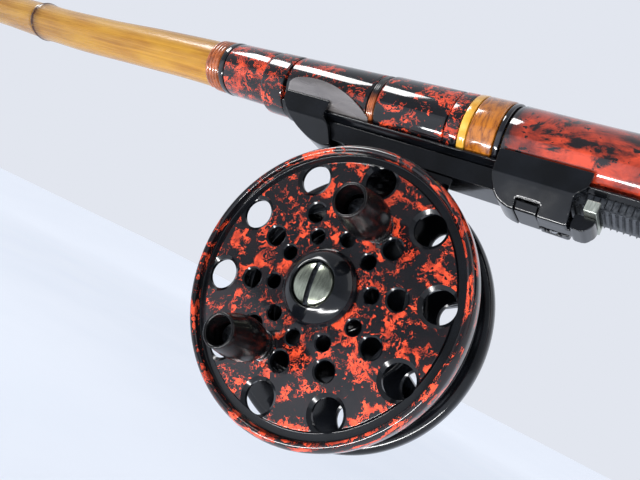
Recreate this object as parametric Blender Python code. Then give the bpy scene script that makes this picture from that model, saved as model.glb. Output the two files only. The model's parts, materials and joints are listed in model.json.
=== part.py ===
"""A two-piece bamboo raft rod with a lacquered grip, a hooded reel seat and a centre-pin reel.

The origin is on the rod's axis, straight above the middle of the reel's spool. +X runs to the
butt, +Y from the reel's face to its back, and +Z up from the reel to the rod.
"""

import math

import bmesh
import bpy
from mathutils import Matrix, Vector

MM = 0.001
GAP = 0.3 * MM  # clearance between pieces that touch

GRIP_SIDES = 20

# Rod, along X
BUTT_END = 250 * MM
JOINT_X = -430 * MM  # front end of the butt blank
TIP_END = -1088 * MM
CORE_R = 8.0 * MM
BLANK_R = 8.4 * MM  # bamboo just ahead of the grip
BLANK_FRONT_R = 7.0 * MM
TIP_REAR_R = 5.0 * MM
TIP_FRONT_R = 1.2 * MM
NODE_RISE = 0.7 * MM  # how far a bamboo node stands out
BUTT_NODES = (-205 * MM, -338 * MM)
TIP_NODES = (-560 * MM, -650 * MM, -738 * MM, -824 * MM, -908 * MM, -990 * MM)
CAP_R = 12.6 * MM
CAP_LENGTH = 14 * MM
GRIP_SWELL_R = 12.0 * MM

# Grip pieces from front to rear: name, front end, rear end, radius at each end
GRIP_FRONT = -87.5 * MM
GRIP_PIECES = (
    ("front_wrap", -87.5 * MM, -80.0 * MM, 9.3 * MM, 9.4 * MM),
    ("front_ring", -80.0 * MM, -77.5 * MM, 9.6 * MM, 9.6 * MM),
    ("grip_section_1", -77.5 * MM, -58.0 * MM, 9.5 * MM, 9.6 * MM),
    ("grip_section_3", -48.0 * MM, -15.0 * MM, 9.8 * MM, 10.1 * MM),
    ("copper_band", -15.0 * MM, -12.2 * MM, 10.2 * MM, 10.2 * MM),
    ("grip_section_4", -12.2 * MM, 12.0 * MM, 10.5 * MM, 10.6 * MM),
    ("middle_ring", 12.0 * MM, 16.4 * MM, 10.7 * MM, 10.7 * MM),
    ("yellow_band", 16.4 * MM, 19.0 * MM, 10.9 * MM, 10.9 * MM),
    ("rear_wrap", 19.0 * MM, 27.0 * MM, 10.9 * MM, 10.9 * MM),
    ("rear_ring", 27.0 * MM, 28.8 * MM, 10.7 * MM, 10.7 * MM),
)
BINDING = (-58.0 * MM, -48.0 * MM)  # the wrap over the seat's front tongue
BINDING_R = 10.6 * MM
BINDING_DROP = 0.9 * MM
GRIP_REAR_R = 10.5 * MM
GRIP_WAIST_R = 10.1 * MM

# Ferrule
SOCKET_LENGTH = 32 * MM
SOCKET_OVERLAP = 30 * MM  # over the butt blank
PLUG_R = 4.0 * MM
FERRULE_WALL = 1.3 * MM
TIP_CUP_LENGTH = 16 * MM

# Guides: place along the rod, and the radius of the ring's opening
GUIDES = (
    (-290 * MM, 6.0 * MM),
    (-520 * MM, 5.2 * MM),
    (-655 * MM, 4.6 * MM),
    (-775 * MM, 4.1 * MM),
    (-885 * MM, 3.7 * MM),
    (-985 * MM, 3.5 * MM),
)
RING_WALL = 0.9 * MM
RING_WIDTH = 2.2 * MM
GUIDE_FOOT = 20 * MM
GUIDE_FOOT_WIDTH = 3.2 * MM
GUIDE_FOOT_THICK = 0.9 * MM
GUIDE_RISE = 3.0 * MM  # clear height between the foot and the ring
TIP_TOP_OPENING = 2.6 * MM
TIP_TOP_TUBE = 12 * MM

# Reel seat
PLATE_R = 11.2 * MM  # inside of the curved plate
PLATE_THICK = 1.0 * MM
PLATE_ANGLE = 40  # degrees to each side of straight down
PLATE_FRONT = -47.7 * MM
PLATE_REAR = 92.0 * MM
TONGUE_R = CORE_R + GAP
TONGUE_THICK = 0.9 * MM
TONGUE_ANGLE = 24
TONGUE_LENGTH = 9.5 * MM
JOGGLE = 1.8 * MM  # length of the step from the tongue down to the plate
SADDLE_R = 10.4 * MM
SADDLE_THICK = 0.5 * MM
SADDLE_LEAF = ((-45.3, -3.6), (-41, -1.4), (-32, -0.8), (-22, -3.2), (-13.2, -7.4))  # mm, X and Z
RACK_FRONT = 49.0 * MM
RACK_HALF = 6.0 * MM
RACK_BOTTOM = -14.0 * MM
TOOTH_PITCH = 2.4 * MM
TOOTH_DEPTH = 1.1 * MM
HOOD_HALF = 9.6 * MM
HOOD_SHOULDER = -13.0 * MM  # where a hood's side starts to lean in
HOOD_SOLE_HALF = 5.6 * MM
HOOD_BOTTOM = -20.2 * MM
HOOD_TOP = -6.2 * MM
HOOD_FLOOR = -17.2 * MM
FIXED_HOOD_FRONT = -45.6 * MM
SLIDING_HOOD_FRONT = 29.5 * MM
LEVER_PIN_X = 48.2 * MM
LEVER_PIN_Z = -18.3 * MM
LEVER_PIN_R = 0.9 * MM
LEVER_ARM_HALF = 2.2 * MM
LEVER_ARM_TOP = -16.4 * MM
PAD = (38.6 * MM, 44.4 * MM)  # the lever's front pad, along X
PAD_TOP = -17.6 * MM
TAB = (53.0 * MM, 58.2 * MM)  # the lever's rear tab, along X
TAB_TOP = -15.9 * MM
TAB_HALF = 4.8 * MM
PAD_INNER_HALF = 6.9 * MM

# Reel
RIM_R = 44.0 * MM
RIM_TOP = -16.5 * MM  # just under the hoods and the foot
SPOOL_Z = RIM_TOP - RIM_R
FACE_Y = -10.4 * MM  # front of the spool's face
FACE_THICK = 2.2 * MM
RIM_BEAD = 2.7 * MM
RIM_FRONT = -12.4 * MM
RIM_REAR = -7.1 * MM
GROOVE = 2.7 * MM  # between the rim's bead and the face
GROOVE_DEPTH = 0.9 * MM
HOLES_PER_RING = 10
HOLE_PHASE = 14.5  # degrees
HOLE_RINGS = (
    (34.5 * MM, 4.65 * MM, 10),
    (23.2 * MM, 3.0 * MM, 8),
    (15.6 * MM, 2.25 * MM, 6),
)  # pitch radius, hole radius, sides
ARBOR_R = 26.0 * MM
ARBOR_WALL = 1.7 * MM
BACK_FLANGE_R = 40.5 * MM
BACK_FLANGE_Y = (6.5 * MM, 8.0 * MM)
HUB_R = 9.0 * MM
BEARING_R = 6.5 * MM
BEARING_WIDTH = 4.0 * MM
SPINDLE_R = 2.5 * MM
BOSS_R = 11.5 * MM
BOSS_HEIGHT = 5.0 * MM
SCREW_R = 6.2 * MM
TENSION_SHANK_R = 1.4 * MM
COIN_SLOT = 1.6 * MM
COIN_TURN = math.radians(-8)
KNOB_PITCH_R = 23.4 * MM
KNOB_ANGLES = {"a": 68.5, "b": 248.5}  # degrees from +X towards +Z
KNOB_TIP = 22.0 * MM  # from the face to a knob's tip
KNOB_BELLY_R = 6.3 * MM
KNOB_TIP_R = 4.8 * MM
KNOB_NECK_R = 4.2 * MM
KNOB_RECESS_R = 3.8 * MM
KNOB_RECESS = 8.0 * MM
POST_R = 2.0 * MM
POST_FLANGE_R = 4.6 * MM
POST_FLANGE = 0.9 * MM
RING_R = RIM_R - 0.2 * MM  # the frame's ring sits just inside the rim's outline
RING_INNER_R = RING_R - 6.8 * MM
RING_Y = (9.0 * MM, 15.2 * MM)
WEB_Y = (11.0 * MM, 13.2 * MM)
WEB_R = 22.0 * MM
SPOKES = 6
SPOKE_WIDTH = 8.0 * MM
FRAME_HUB_R = 8.0 * MM
FRAME_HUB_Y = (9.9 * MM, 16.4 * MM)
GEAR_R = 8.2 * MM
GEAR_TEETH = 16
TOOTH_RISE = 1.1 * MM
GEAR_THICK = 1.2 * MM
CLICK_PITCH = 16.5 * MM  # from the spindle down to the click button
CLICK_TRAVEL = 2.6 * MM
CLICK_STEM_HALF = 1.4 * MM
CLICK_BUTTON_R = 4.0 * MM
CLICK_CLEAR = 0.4 * MM  # between the engaged pawl and the gear's crests
FOOT_HALF = 6.0 * MM
FOOT_BOTTOM = -16.9 * MM
FOOT_FRONT = -35.0 * MM
FOOT_REAR = 46.0 * MM
FOOT_SHOULDERS = (-26.0 * MM, 35.0 * MM)
FOOT_TONGUE_BOTTOM = -14.6 * MM
BRIDGE_HALF = 19.6 * MM
BRIDGE_WAIST = 13.4 * MM
BRIDGE_BOTTOM = -19.2 * MM
BRIDGE_FRONT = -5.5 * MM
FOOT_SCREW_X = 9.0 * MM
FOOT_SCREW_R = 1.1 * MM
FOOT_SCREW_HEAD_R = 2.2 * MM

for old in list(bpy.data.objects):
    bpy.data.objects.remove(old, do_unlink=True)


def material(name, colour, roughness, metallic=0.0):
    """A Principled material of one finish."""
    made = bpy.data.materials.new(name)
    made.use_nodes = True
    shader = made.node_tree.nodes["Principled BSDF"]
    shader.inputs["Base Color"].default_value = (*colour, 1.0)
    shader.inputs["Roughness"].default_value = roughness
    shader.inputs["Metallic"].default_value = metallic
    made.diffuse_color = (*colour, 1.0)
    return made


BAMBOO = material("bamboo", (0.71, 0.42, 0.11), 0.35)
MARBLED = material("marbled_lacquer", (0.36, 0.06, 0.03), 0.15)
RED = material("red_lacquer", (0.48, 0.07, 0.04), 0.15)
BLACK = material("black_lacquer", (0.012, 0.012, 0.014), 0.12)
YELLOW = material("yellow_lacquer", (0.80, 0.48, 0.05), 0.15)
COPPER = material("copper_thread", (0.40, 0.14, 0.03), 0.25)
ENAMEL = material("black_enamel", (0.012, 0.012, 0.014), 0.2, 0.0)
STEEL = material("steel", (0.55, 0.55, 0.52), 0.3, 1.0)
CHROME = material("chrome", (0.80, 0.80, 0.80), 0.1, 1.0)
BRASS = material("brass", (0.70, 0.50, 0.20), 0.3, 1.0)
CERAMIC = material("guide_ring", (0.03, 0.03, 0.035), 0.1)


def add(name, mesh, finish):
    """Make a bmesh an object, with its faces outward and its round stretches smooth."""
    bmesh.ops.recalc_face_normals(mesh, faces=mesh.faces)
    data = bpy.data.meshes.new(name)
    mesh.to_mesh(data)
    mesh.free()
    data.materials.append(finish)
    data.shade_smooth()
    data.set_sharp_from_angle(angle=math.radians(40))
    obj = bpy.data.objects.new(name, data)
    bpy.context.scene.collection.objects.link(obj)
    return obj


def turned(profile, axis, centre, sides, closed=False):
    """Turn (place along the axis, radius) points about the X or Y axis through a centre.

    An open profile starts and ends on the axis. A closed one is a ring's section.
    """
    mesh = bmesh.new()
    rings = []
    for along, radius in profile:
        count = sides if radius > 0 else 1
        ring = []
        for step in range(count):
            turn = 2 * math.pi * step / sides
            across, up = radius * math.cos(turn), radius * math.sin(turn)
            place = (along, across, up) if axis == "X" else (across, along, up)
            ring.append(mesh.verts.new(Vector(place) + Vector(centre)))
        rings.append(ring)
    pairs = list(zip(rings, rings[1:]))
    if closed:
        pairs.append((rings[-1], rings[0]))
    for first, second in pairs:
        for step in range(sides):
            after = (step + 1) % sides
            if len(first) == 1:
                mesh.faces.new((first[0], second[after], second[step]))
            elif len(second) == 1:
                mesh.faces.new((first[step], first[after], second[0]))
            else:
                mesh.faces.new((first[step], first[after], second[after], second[step]))
    return mesh


def prism(outline, axis, low, high):
    """Extrude an outline, given in the other two coordinates, along X, Y or Z."""
    mesh = bmesh.new()
    ends = []
    for along in (low, high):
        ring = []
        for first, second in outline:
            place = [first, second]
            place.insert("XYZ".index(axis), along)
            ring.append(mesh.verts.new(place))
        ends.append(ring)
        mesh.faces.new(ring)
    for index in range(len(outline)):
        after = (index + 1) % len(outline)
        mesh.faces.new((ends[0][index], ends[0][after], ends[1][after], ends[1][index]))
    return mesh


def block(low, high):
    """A box between two corners."""
    outline = ((low[0], low[2]), (high[0], low[2]), (high[0], high[2]), (low[0], high[2]))
    return prism(outline, "Y", low[1], high[1])


def sheet_outline(inner, outer, half_angle, steps=8):
    """The Y, Z outline of a curved sheet that hugs the rod from below."""
    points = []
    for radius, order in ((inner, range(steps + 1)), (outer, range(steps, -1, -1))):
        for step in order:
            angle = math.radians(-90 - half_angle + 2 * half_angle * step / steps)
            points.append((radius * math.cos(angle), radius * math.sin(angle)))
    return points


def merged(meshes):
    """Several bmeshes as one, for a cutter of many bodies."""
    whole = bmesh.new()
    for mesh in meshes:
        bmesh.ops.recalc_face_normals(mesh, faces=mesh.faces)
        data = bpy.data.meshes.new("cutter")
        mesh.to_mesh(data)
        mesh.free()
        whole.from_mesh(data)
    return whole


def combine(obj, mesh, operation):
    """Cut a bmesh from an object, join it on, or keep what both hold."""
    tool = add(obj.name + "_tool", mesh, obj.data.materials[0])
    tool.hide_render = True
    tool.display_type = "WIRE"
    if obj.parent:
        ride(tool, obj.parent)
    step = obj.modifiers.new(operation.lower(), "BOOLEAN")
    step.operation = operation
    step.solver = "EXACT"
    step.object = tool
    return obj


def ride(obj, parent):
    """Hang an object on an empty without moving it."""
    obj.parent = parent
    obj.matrix_parent_inverse = parent.matrix_world.inverted()
    return obj


def pivot(name, place):
    """An empty on a joint's axis."""
    empty = bpy.data.objects.new(name, None)
    empty.location = place
    bpy.context.scene.collection.objects.link(empty)
    bpy.context.view_layer.update()
    return empty


def on_pitch(radius, degrees):
    """X and Z of a point at an angle from +X towards +Z about the spool's axis."""
    angle = math.radians(degrees)
    return radius * math.cos(angle), SPOOL_Z + radius * math.sin(angle)


def blank_radius(x):
    """The butt blank's radius at a place along it, without its nodes."""
    share = (GRIP_FRONT - x) / (GRIP_FRONT - JOINT_X)
    return BLANK_R + (BLANK_FRONT_R - BLANK_R) * max(share, 0)


def tip_radius(x):
    """The tip blank's radius at a place along it, without its nodes."""
    rear = JOINT_X - SOCKET_LENGTH
    return TIP_REAR_R + (TIP_FRONT_R - TIP_REAR_R) * (rear - x) / (rear - TIP_END)


def with_nodes(radius_at, places):
    """Profile points for bamboo nodes: a soft swelling on each."""
    points = []
    for x in places:
        rise = NODE_RISE * radius_at(x) / BLANK_R
        for offset, share in ((6, 0), (1.5, 1), (-1.5, 0.75), (-6, 0)):
            place = x + offset * MM
            points.append((place, radius_at(place) + share * rise))
    return points


def sleeve(name, front, rear, front_r, rear_r, finish):
    """A grip piece: a tube over the rod's core."""
    front, rear, bore = front + GAP / 2, rear - GAP / 2, CORE_R + GAP
    profile = ((front, bore), (front, front_r), (rear, rear_r), (rear, bore))
    return add(name, turned(profile, "X", (0, 0, 0), GRIP_SIDES, closed=True), finish)


def rod_core():
    """The butt blank: bamboo ahead of the grip, and the core inside it."""
    core_rear = BUTT_END - CAP_LENGTH / 2
    profile = [(core_rear, 0), (core_rear, CORE_R), (GRIP_FRONT, CORE_R), (GRIP_FRONT, BLANK_R)]
    profile += with_nodes(blank_radius, BUTT_NODES)
    profile += [(JOINT_X, BLANK_FRONT_R), (JOINT_X, 0)]
    add("butt_blank", turned(profile, "X", (0, 0, 0), 16), BAMBOO)


def grip():
    """The lacquered sleeves, rings and thread bands, the binding and the butt cap."""
    finishes = {
        "front_wrap": COPPER,
        "copper_band": COPPER,
        "rear_wrap": COPPER,
        "yellow_band": YELLOW,
        "front_ring": BLACK,
        "middle_ring": BLACK,
        "rear_ring": BLACK,
    }
    for name, front, rear, front_r, rear_r in GRIP_PIECES:
        tube = sleeve(name, front, rear, front_r, rear_r, finishes.get(name, MARBLED))
        if front < PLATE_FRONT < rear:
            notch = sheet_outline(CORE_R - MM, front_r + MM, TONGUE_ANGLE + 2, 6)
            notch = prism(notch, "X", front - MM, PLATE_FRONT + JOGGLE + GAP)
            combine(tube, notch, "DIFFERENCE")
    front, rear = BINDING[0] + GAP / 2, BINDING[1] - GAP / 2
    ease = 0.8 * MM
    shell = ((front, 0), (front, BINDING_R - ease), (front + ease, BINDING_R))
    shell += ((rear, BINDING_R), (rear, 0))
    binding = add("seat_binding", turned(shell, "X", (0, 0, -BINDING_DROP), GRIP_SIDES), MARBLED)
    bore = ((front - MM, 0), (front - MM, CORE_R + GAP), (rear + MM, CORE_R + GAP), (rear + MM, 0))
    combine(binding, turned(bore, "X", (0, 0, 0), GRIP_SIDES), "DIFFERENCE")
    slot = sheet_outline(CORE_R - MM, TONGUE_R + TONGUE_THICK + GAP, TONGUE_ANGLE + 3, 6)
    slot_front = PLATE_FRONT - TONGUE_LENGTH - GAP
    combine(binding, prism(slot, "X", slot_front, rear + MM), "DIFFERENCE")

    start = GRIP_PIECES[-1][2] + GAP
    end = BUTT_END - CAP_LENGTH - GAP
    profile = (
        (start, CORE_R + GAP),
        (start, GRIP_REAR_R),
        (60 * MM, GRIP_WAIST_R),
        (150 * MM, GRIP_WAIST_R + 0.4 * MM),
        (end - 30 * MM, GRIP_SWELL_R),
        (end, GRIP_SWELL_R),
        (end, CORE_R + GAP),
    )
    add("rear_grip", turned(profile, "X", (0, 0, 0), GRIP_SIDES, closed=True), RED)
    floor = BUTT_END - CAP_LENGTH / 2 + GAP
    cap = (
        (floor, 0),
        (floor, CORE_R + GAP),
        (end + GAP, CORE_R + GAP),
        (end + GAP, CAP_R),
        (BUTT_END - 2.5 * MM, CAP_R),
        (BUTT_END, CAP_R - 2.5 * MM),
        (BUTT_END, 0),
    )
    add("butt_cap", turned(cap, "X", (0, 0, 0), GRIP_SIDES), BLACK)


def ferrule_and_tip():
    """The socket on the butt blank, and the tip section that plugs into it."""
    bore = PLUG_R + GAP
    seat = BLANK_FRONT_R + GAP + 0.3 * MM
    front = JOINT_X - SOCKET_LENGTH
    rear = JOINT_X + SOCKET_OVERLAP
    step = JOINT_X - GAP
    profile = (
        (front, bore),
        (front, bore + FERRULE_WALL),
        (JOINT_X - 6 * MM, bore + FERRULE_WALL + 0.4 * MM),
        (JOINT_X, seat + FERRULE_WALL / 2),
        (rear - MM, seat + FERRULE_WALL / 2),
        (rear, seat + 0.2 * MM),
        (rear, seat),
        (step, seat),
        (step, bore),
    )
    add("ferrule_socket", turned(profile, "X", (0, 0, 0), 16, closed=True), BLACK)

    tip = pivot("tip_section", (front, 0, 0))
    shoulder = front - GAP
    floor = shoulder - 2 * MM
    mouth = floor - TIP_CUP_LENGTH
    inner = TIP_REAR_R + GAP
    plug = (
        (JOINT_X - MM, 0),
        (JOINT_X - MM, PLUG_R - 0.4 * MM),
        (JOINT_X - 2 * MM, PLUG_R),
        (shoulder, PLUG_R),
        (shoulder, inner + 0.7 * MM),
        (mouth, inner + 0.5 * MM),
        (mouth, inner),
        (floor, inner),
        (floor, 0),
    )
    ride(add("ferrule_plug", turned(plug, "X", (0, 0, 0), 16), BRASS), tip)
    start = floor - GAP
    blank = [(start, 0), (start, tip_radius(start))]
    blank += with_nodes(tip_radius, TIP_NODES)
    blank += [(TIP_END, TIP_FRONT_R), (TIP_END, 0)]
    ride(add("tip_blank", turned(blank, "X", (0, 0, 0), 10), BAMBOO), tip)
    return tip


def hoop(x, z, opening, wall, width, sides=12):
    """A flat ring about X."""
    low, high = x - width / 2, x + width / 2
    profile = ((low, opening), (low, opening + wall), (high, opening + wall), (high, opening))
    return turned(profile, "X", (0, 0, z), sides, closed=True)


def guides(tip):
    """Each guide's frame and its hard ring, below the rod on the reel's side."""
    for number, (x, opening) in enumerate(GUIDES, 1):
        on_tip = x < JOINT_X
        radius = tip_radius(x) if on_tip else blank_radius(x)
        top = -(radius + GAP)
        sole = top - GUIDE_FOOT_THICK
        frame_bore = opening + RING_WALL + GAP
        centre = sole - GUIDE_RISE - frame_bore - RING_WALL
        half = GUIDE_FOOT_WIDTH / 2
        frame = add(f"guide_frame_{number}", hoop(x, centre, frame_bore, RING_WALL, RING_WIDTH), STEEL)
        strut_low = centre + frame_bore + RING_WALL / 2
        strut = block((x - 0.6 * MM, -half, strut_low), (x + 0.6 * MM, half, sole + 0.4 * MM))
        foot = block((x - 2 * MM, -half, sole), (x + GUIDE_FOOT, half, top))
        combine(frame, strut, "UNION")
        combine(frame, foot, "UNION")
        ring = hoop(x, centre, opening, RING_WALL, RING_WIDTH + 0.4 * MM)
        insert = add(f"guide_ring_{number}", ring, CERAMIC)
        if on_tip:
            ride(frame, tip)
            ride(insert, tip)

    bore = TIP_FRONT_R + GAP
    tube = hoop(TIP_END + TIP_TOP_TUBE / 2 - 2 * MM, 0, bore + 0.15 * MM, 0.6 * MM, TIP_TOP_TUBE)
    frame = ride(add("tip_top_frame", tube, STEEL), tip)
    frame_bore = TIP_TOP_OPENING + RING_WALL + GAP
    centre = -(bore + 0.75 * MM) - frame_bore - 0.4 * MM
    place = TIP_END - 1.2 * MM
    combine(frame, hoop(place, centre, frame_bore, RING_WALL, RING_WIDTH), "UNION")
    ring = hoop(place, centre, TIP_TOP_OPENING, RING_WALL, RING_WIDTH + 0.4 * MM)
    ride(add("tip_top_ring", ring, CERAMIC), tip)


def hood_half(z):
    """Half the width of a hood's outside at a height."""
    lean = (HOOD_HALF - HOOD_SOLE_HALF) / (HOOD_SHOULDER - HOOD_BOTTOM)
    return HOOD_HALF - lean * max(HOOD_SHOULDER - z, 0)


def hood(name, side_outline, channel, front, rear):
    """A reel-seat hood: its side outline, narrowed below, hollowed for the rod, plate and foot."""
    body = add(name, prism(side_outline, "Y", -HOOD_HALF, HOOD_HALF), ENAMEL)
    front, rear, low = front - MM, rear + MM, HOOD_BOTTOM - MM
    section = [(-HOOD_HALF, MM), (-HOOD_HALF, HOOD_SHOULDER), (-hood_half(low), low)]
    section += [(-y, z) for y, z in reversed(section)]
    combine(body, prism(section, "X", front, rear), "INTERSECT")
    clear = SADDLE_R + SADDLE_THICK + GAP
    rod = ((front, 0), (front, clear), (rear, clear), (rear, 0))
    combine(body, turned(rod, "X", (0, 0, 0), 48), "DIFFERENCE")
    slot = sheet_outline(TONGUE_R, PLATE_R + PLATE_THICK + GAP, PLATE_ANGLE + 4)
    combine(body, prism(slot, "X", front, rear), "DIFFERENCE")
    half = FOOT_HALF + GAP
    combine(body, prism(channel, "Y", -half, half), "DIFFERENCE")
    return body


def foot_outline(spare):
    """The foot's side outline in X and Z, grown by a clearance."""
    top = -(PLATE_R - MM)
    front, rear = FOOT_FRONT - spare, FOOT_REAR + spare
    low, tongue = FOOT_BOTTOM - spare, FOOT_TONGUE_BOTTOM - spare
    return (
        (front, top),
        (front, tongue),
        (FOOT_SHOULDERS[0] - spare, low),
        (FOOT_SHOULDERS[1] + spare, low),
        (rear, tongue),
        (rear, top),
    )


def seat_plate():
    """The curved plate under the grip, its front tongue, and the rack behind."""
    outline = sheet_outline(PLATE_R, PLATE_R + PLATE_THICK, PLATE_ANGLE)
    front = PLATE_FRONT + JOGGLE / 2
    plate = add("seat_plate", prism(outline, "X", front, PLATE_REAR), ENAMEL)
    bend = sheet_outline(TONGUE_R + 0.2 * MM, PLATE_R + PLATE_THICK / 2, TONGUE_ANGLE - 1, 6)
    combine(plate, prism(bend, "X", PLATE_FRONT, PLATE_FRONT + JOGGLE), "UNION")
    tongue = sheet_outline(TONGUE_R, TONGUE_R + TONGUE_THICK, TONGUE_ANGLE, 6)
    combine(plate, prism(tongue, "X", PLATE_FRONT - TONGUE_LENGTH, front - 0.2 * MM), "UNION")
    middle = -(PLATE_R + PLATE_THICK / 2)
    side = -math.sqrt((PLATE_R + PLATE_THICK / 2) ** 2 - RACK_HALF**2)
    rack = [(-RACK_HALF, RACK_BOTTOM), (RACK_HALF, RACK_BOTTOM), (RACK_HALF, side)]
    rack += [(RACK_HALF / 2, (2 * middle + side) / 3), (-RACK_HALF / 2, (2 * middle + side) / 3)]
    rack.append((-RACK_HALF, side))
    combine(plate, prism(rack, "X", RACK_FRONT, PLATE_REAR - MM), "UNION")
    notches = []
    place = RACK_FRONT + TOOTH_PITCH
    while place < PLATE_REAR - TOOTH_PITCH:
        notch = (
            (place, RACK_BOTTOM + TOOTH_DEPTH),
            (place - 0.3 * MM, RACK_BOTTOM - MM),
            (place + 0.7 * TOOTH_PITCH, RACK_BOTTOM - MM),
        )
        notches.append(prism(notch, "Y", -RACK_HALF - MM, RACK_HALF + MM))
        place += TOOTH_PITCH
    combine(plate, merged(notches), "DIFFERENCE")


def seat_saddle():
    """The thin leaf that hugs the grip's sides above the fixed hood."""
    rear = SADDLE_LEAF[-1][0] * MM
    outline = sheet_outline(SADDLE_R, SADDLE_R + SADDLE_THICK, 100, 16)
    front = SADDLE_LEAF[0][0] * MM
    saddle = add("seat_saddle", prism(outline, "X", front, rear), ENAMEL)
    leaf = [(front - MM, -20 * MM), (front - MM, SADDLE_LEAF[0][1] * MM)]
    leaf += [(x * MM, z * MM) for x, z in SADDLE_LEAF]
    leaf += [(rear + MM, SADDLE_LEAF[-1][1] * MM), (rear + MM, -20 * MM)]
    combine(saddle, prism(leaf, "Y", -20 * MM, 20 * MM), "INTERSECT")


def fixed_hood():
    """The front hood, a rounded nose that takes the foot's front tongue."""
    front = FIXED_HOOD_FRONT
    outline = (
        (front, HOOD_TOP),
        (front + 0.8 * MM, -9.2 * MM),
        (front + 3.8 * MM, -12.6 * MM),
        (front + 8.6 * MM, -16.0 * MM),
        (front + 14.6 * MM, -18.6 * MM),
        (front + 19.6 * MM, -19.6 * MM),
        (front + 23.1 * MM, -18.8 * MM),
        (front + 21.0 * MM, -13.6 * MM),
        (front + 18.0 * MM, -11.2 * MM),
        (front + 18.0 * MM, HOOD_TOP),
    )
    channel = list(foot_outline(GAP))
    channel[3:] = [(0, HOOD_FLOOR), (0, channel[0][1])]
    hood("fixed_hood", outline, channel, front, front + 24 * MM)


def sliding_hood():
    """The rear hood with its slots, and the lock lever, pawl, pin and spring that ride on it."""
    front = SLIDING_HOOD_FRONT
    slide = pivot("hood_slide", (front, 0, 0))
    outline = (
        (front, HOOD_TOP),
        (front + 1.2 * MM, -15.2 * MM),
        (front + 3.6 * MM, -18.8 * MM),
        (front + 7.2 * MM, HOOD_BOTTOM),
        (front + 23.0 * MM, HOOD_BOTTOM),
        (front + 22.4 * MM, HOOD_SHOULDER),
        (front + 24.8 * MM, -10.4 * MM),
        (front + 25.0 * MM, HOOD_TOP),
    )
    rear = front + 25 * MM
    channel = ((front - MM, -10 * MM), (front - MM, HOOD_FLOOR), (rear + MM, HOOD_FLOOR))
    channel += ((rear + MM, -10 * MM),)
    body = hood("sliding_hood", outline, channel, front, rear)
    wide = HOOD_HALF + MM
    pad_low = (PAD[0] - GAP, -wide, HOOD_BOTTOM - 2 * MM)
    pad_high = (PAD[1] + GAP, wide, PAD_TOP + 0.1 * MM)
    combine(body, block(pad_low, pad_high), "DIFFERENCE")
    arm = LEVER_ARM_HALF + GAP
    arm_low = (PAD[0] - GAP, -arm, HOOD_BOTTOM - MM)
    combine(body, block(arm_low, (rear + MM, arm, -15 * MM)), "DIFFERENCE")
    inner = PAD_INNER_HALF + GAP
    well_low = (PAD[0] - GAP, -inner, HOOD_BOTTOM - MM)
    combine(body, block(well_low, (PAD[1] + GAP, inner, -15 * MM)), "DIFFERENCE")
    pin_half = hood_half(LEVER_PIN_Z) - 0.6 * MM
    hole = ((-wide, 0), (-wide, LEVER_PIN_R + GAP), (wide, LEVER_PIN_R + GAP), (wide, 0))
    pin_place = (LEVER_PIN_X, 0, LEVER_PIN_Z)
    combine(body, turned(hole, "Y", pin_place, 12), "DIFFERENCE")
    spring_room = LEVER_PIN_R + 1.4 * MM
    spring_end = arm + 1.6 * MM
    spring_low = (LEVER_PIN_X - spring_room, -MM, HOOD_BOTTOM - MM)
    spring_high = (LEVER_PIN_X + spring_room, spring_end, -15 * MM)
    combine(body, block(spring_low, spring_high), "DIFFERENCE")
    ride(body, slide)
    pin = ((-pin_half, 0), (-pin_half, LEVER_PIN_R), (pin_half, LEVER_PIN_R), (pin_half, 0))
    ride(add("lever_pin", turned(pin, "Y", pin_place, 10), STEEL), slide)
    inner_r = LEVER_PIN_R + GAP
    coil = ((arm, inner_r), (arm, inner_r + 0.7 * MM))
    coil += ((spring_end - GAP, inner_r + 0.7 * MM), (spring_end - GAP, inner_r))
    ride(add("lever_spring", turned(coil, "Y", pin_place, 12, closed=True), STEEL), slide)
    lock(slide)


def lock(slide):
    """The lock lever, its front pad in the hood's side windows, and the pawl under the rack."""
    tilt = pivot("lever_tilt", (LEVER_PIN_X, 0, LEVER_PIN_Z))
    ride(tilt, slide)
    pad_bottom = HOOD_BOTTOM + 0.2 * MM
    pad = [(-hood_half(PAD_TOP) + 0.3 * MM, PAD_TOP), (-hood_half(pad_bottom) + 0.1 * MM, pad_bottom)]
    pad += [(-y, z) for y, z in reversed(pad)]
    lever = ride(add("lock_lever", prism(pad, "X", *PAD), ENAMEL), tilt)
    arm_low = (PAD[1] - 2 * MM, -LEVER_ARM_HALF, pad_bottom + 0.1 * MM)
    arm_high = (TAB[0] + MM, LEVER_ARM_HALF, LEVER_ARM_TOP)
    combine(lever, block(arm_low, arm_high), "UNION")
    tab = (
        (TAB[0], TAB_TOP),
        (TAB[0], pad_bottom),
        (TAB[1] - 1.6 * MM, pad_bottom),
        (TAB[1], pad_bottom + 2.2 * MM),
        (TAB[1], TAB_TOP),
    )
    combine(lever, prism(tab, "Y", -TAB_HALF, TAB_HALF), "UNION")
    wide = LEVER_ARM_HALF + MM
    hole = ((-wide, 0), (-wide, LEVER_PIN_R + GAP), (wide, LEVER_PIN_R + GAP), (wide, 0))
    combine(lever, turned(hole, "Y", (LEVER_PIN_X, 0, LEVER_PIN_Z), 12), "DIFFERENCE")
    cheek = RACK_HALF + GAP + 0.1 * MM
    low, crest = TAB_TOP + GAP, RACK_BOTTOM - GAP
    pawl = [(-cheek - 1.6 * MM, crest + 1.8 * MM), (-cheek - 1.6 * MM, low)]
    pawl += [(-y, z) for y, z in reversed(pawl)]
    pawl += [(cheek, crest + 1.8 * MM), (cheek, crest), (-cheek, crest), (-cheek, crest + 1.8 * MM)]
    ride(add("lock_pawl", prism(pawl, "X", TAB[1] - 3.2 * MM, TAB[1]), STEEL), tilt)


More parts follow.
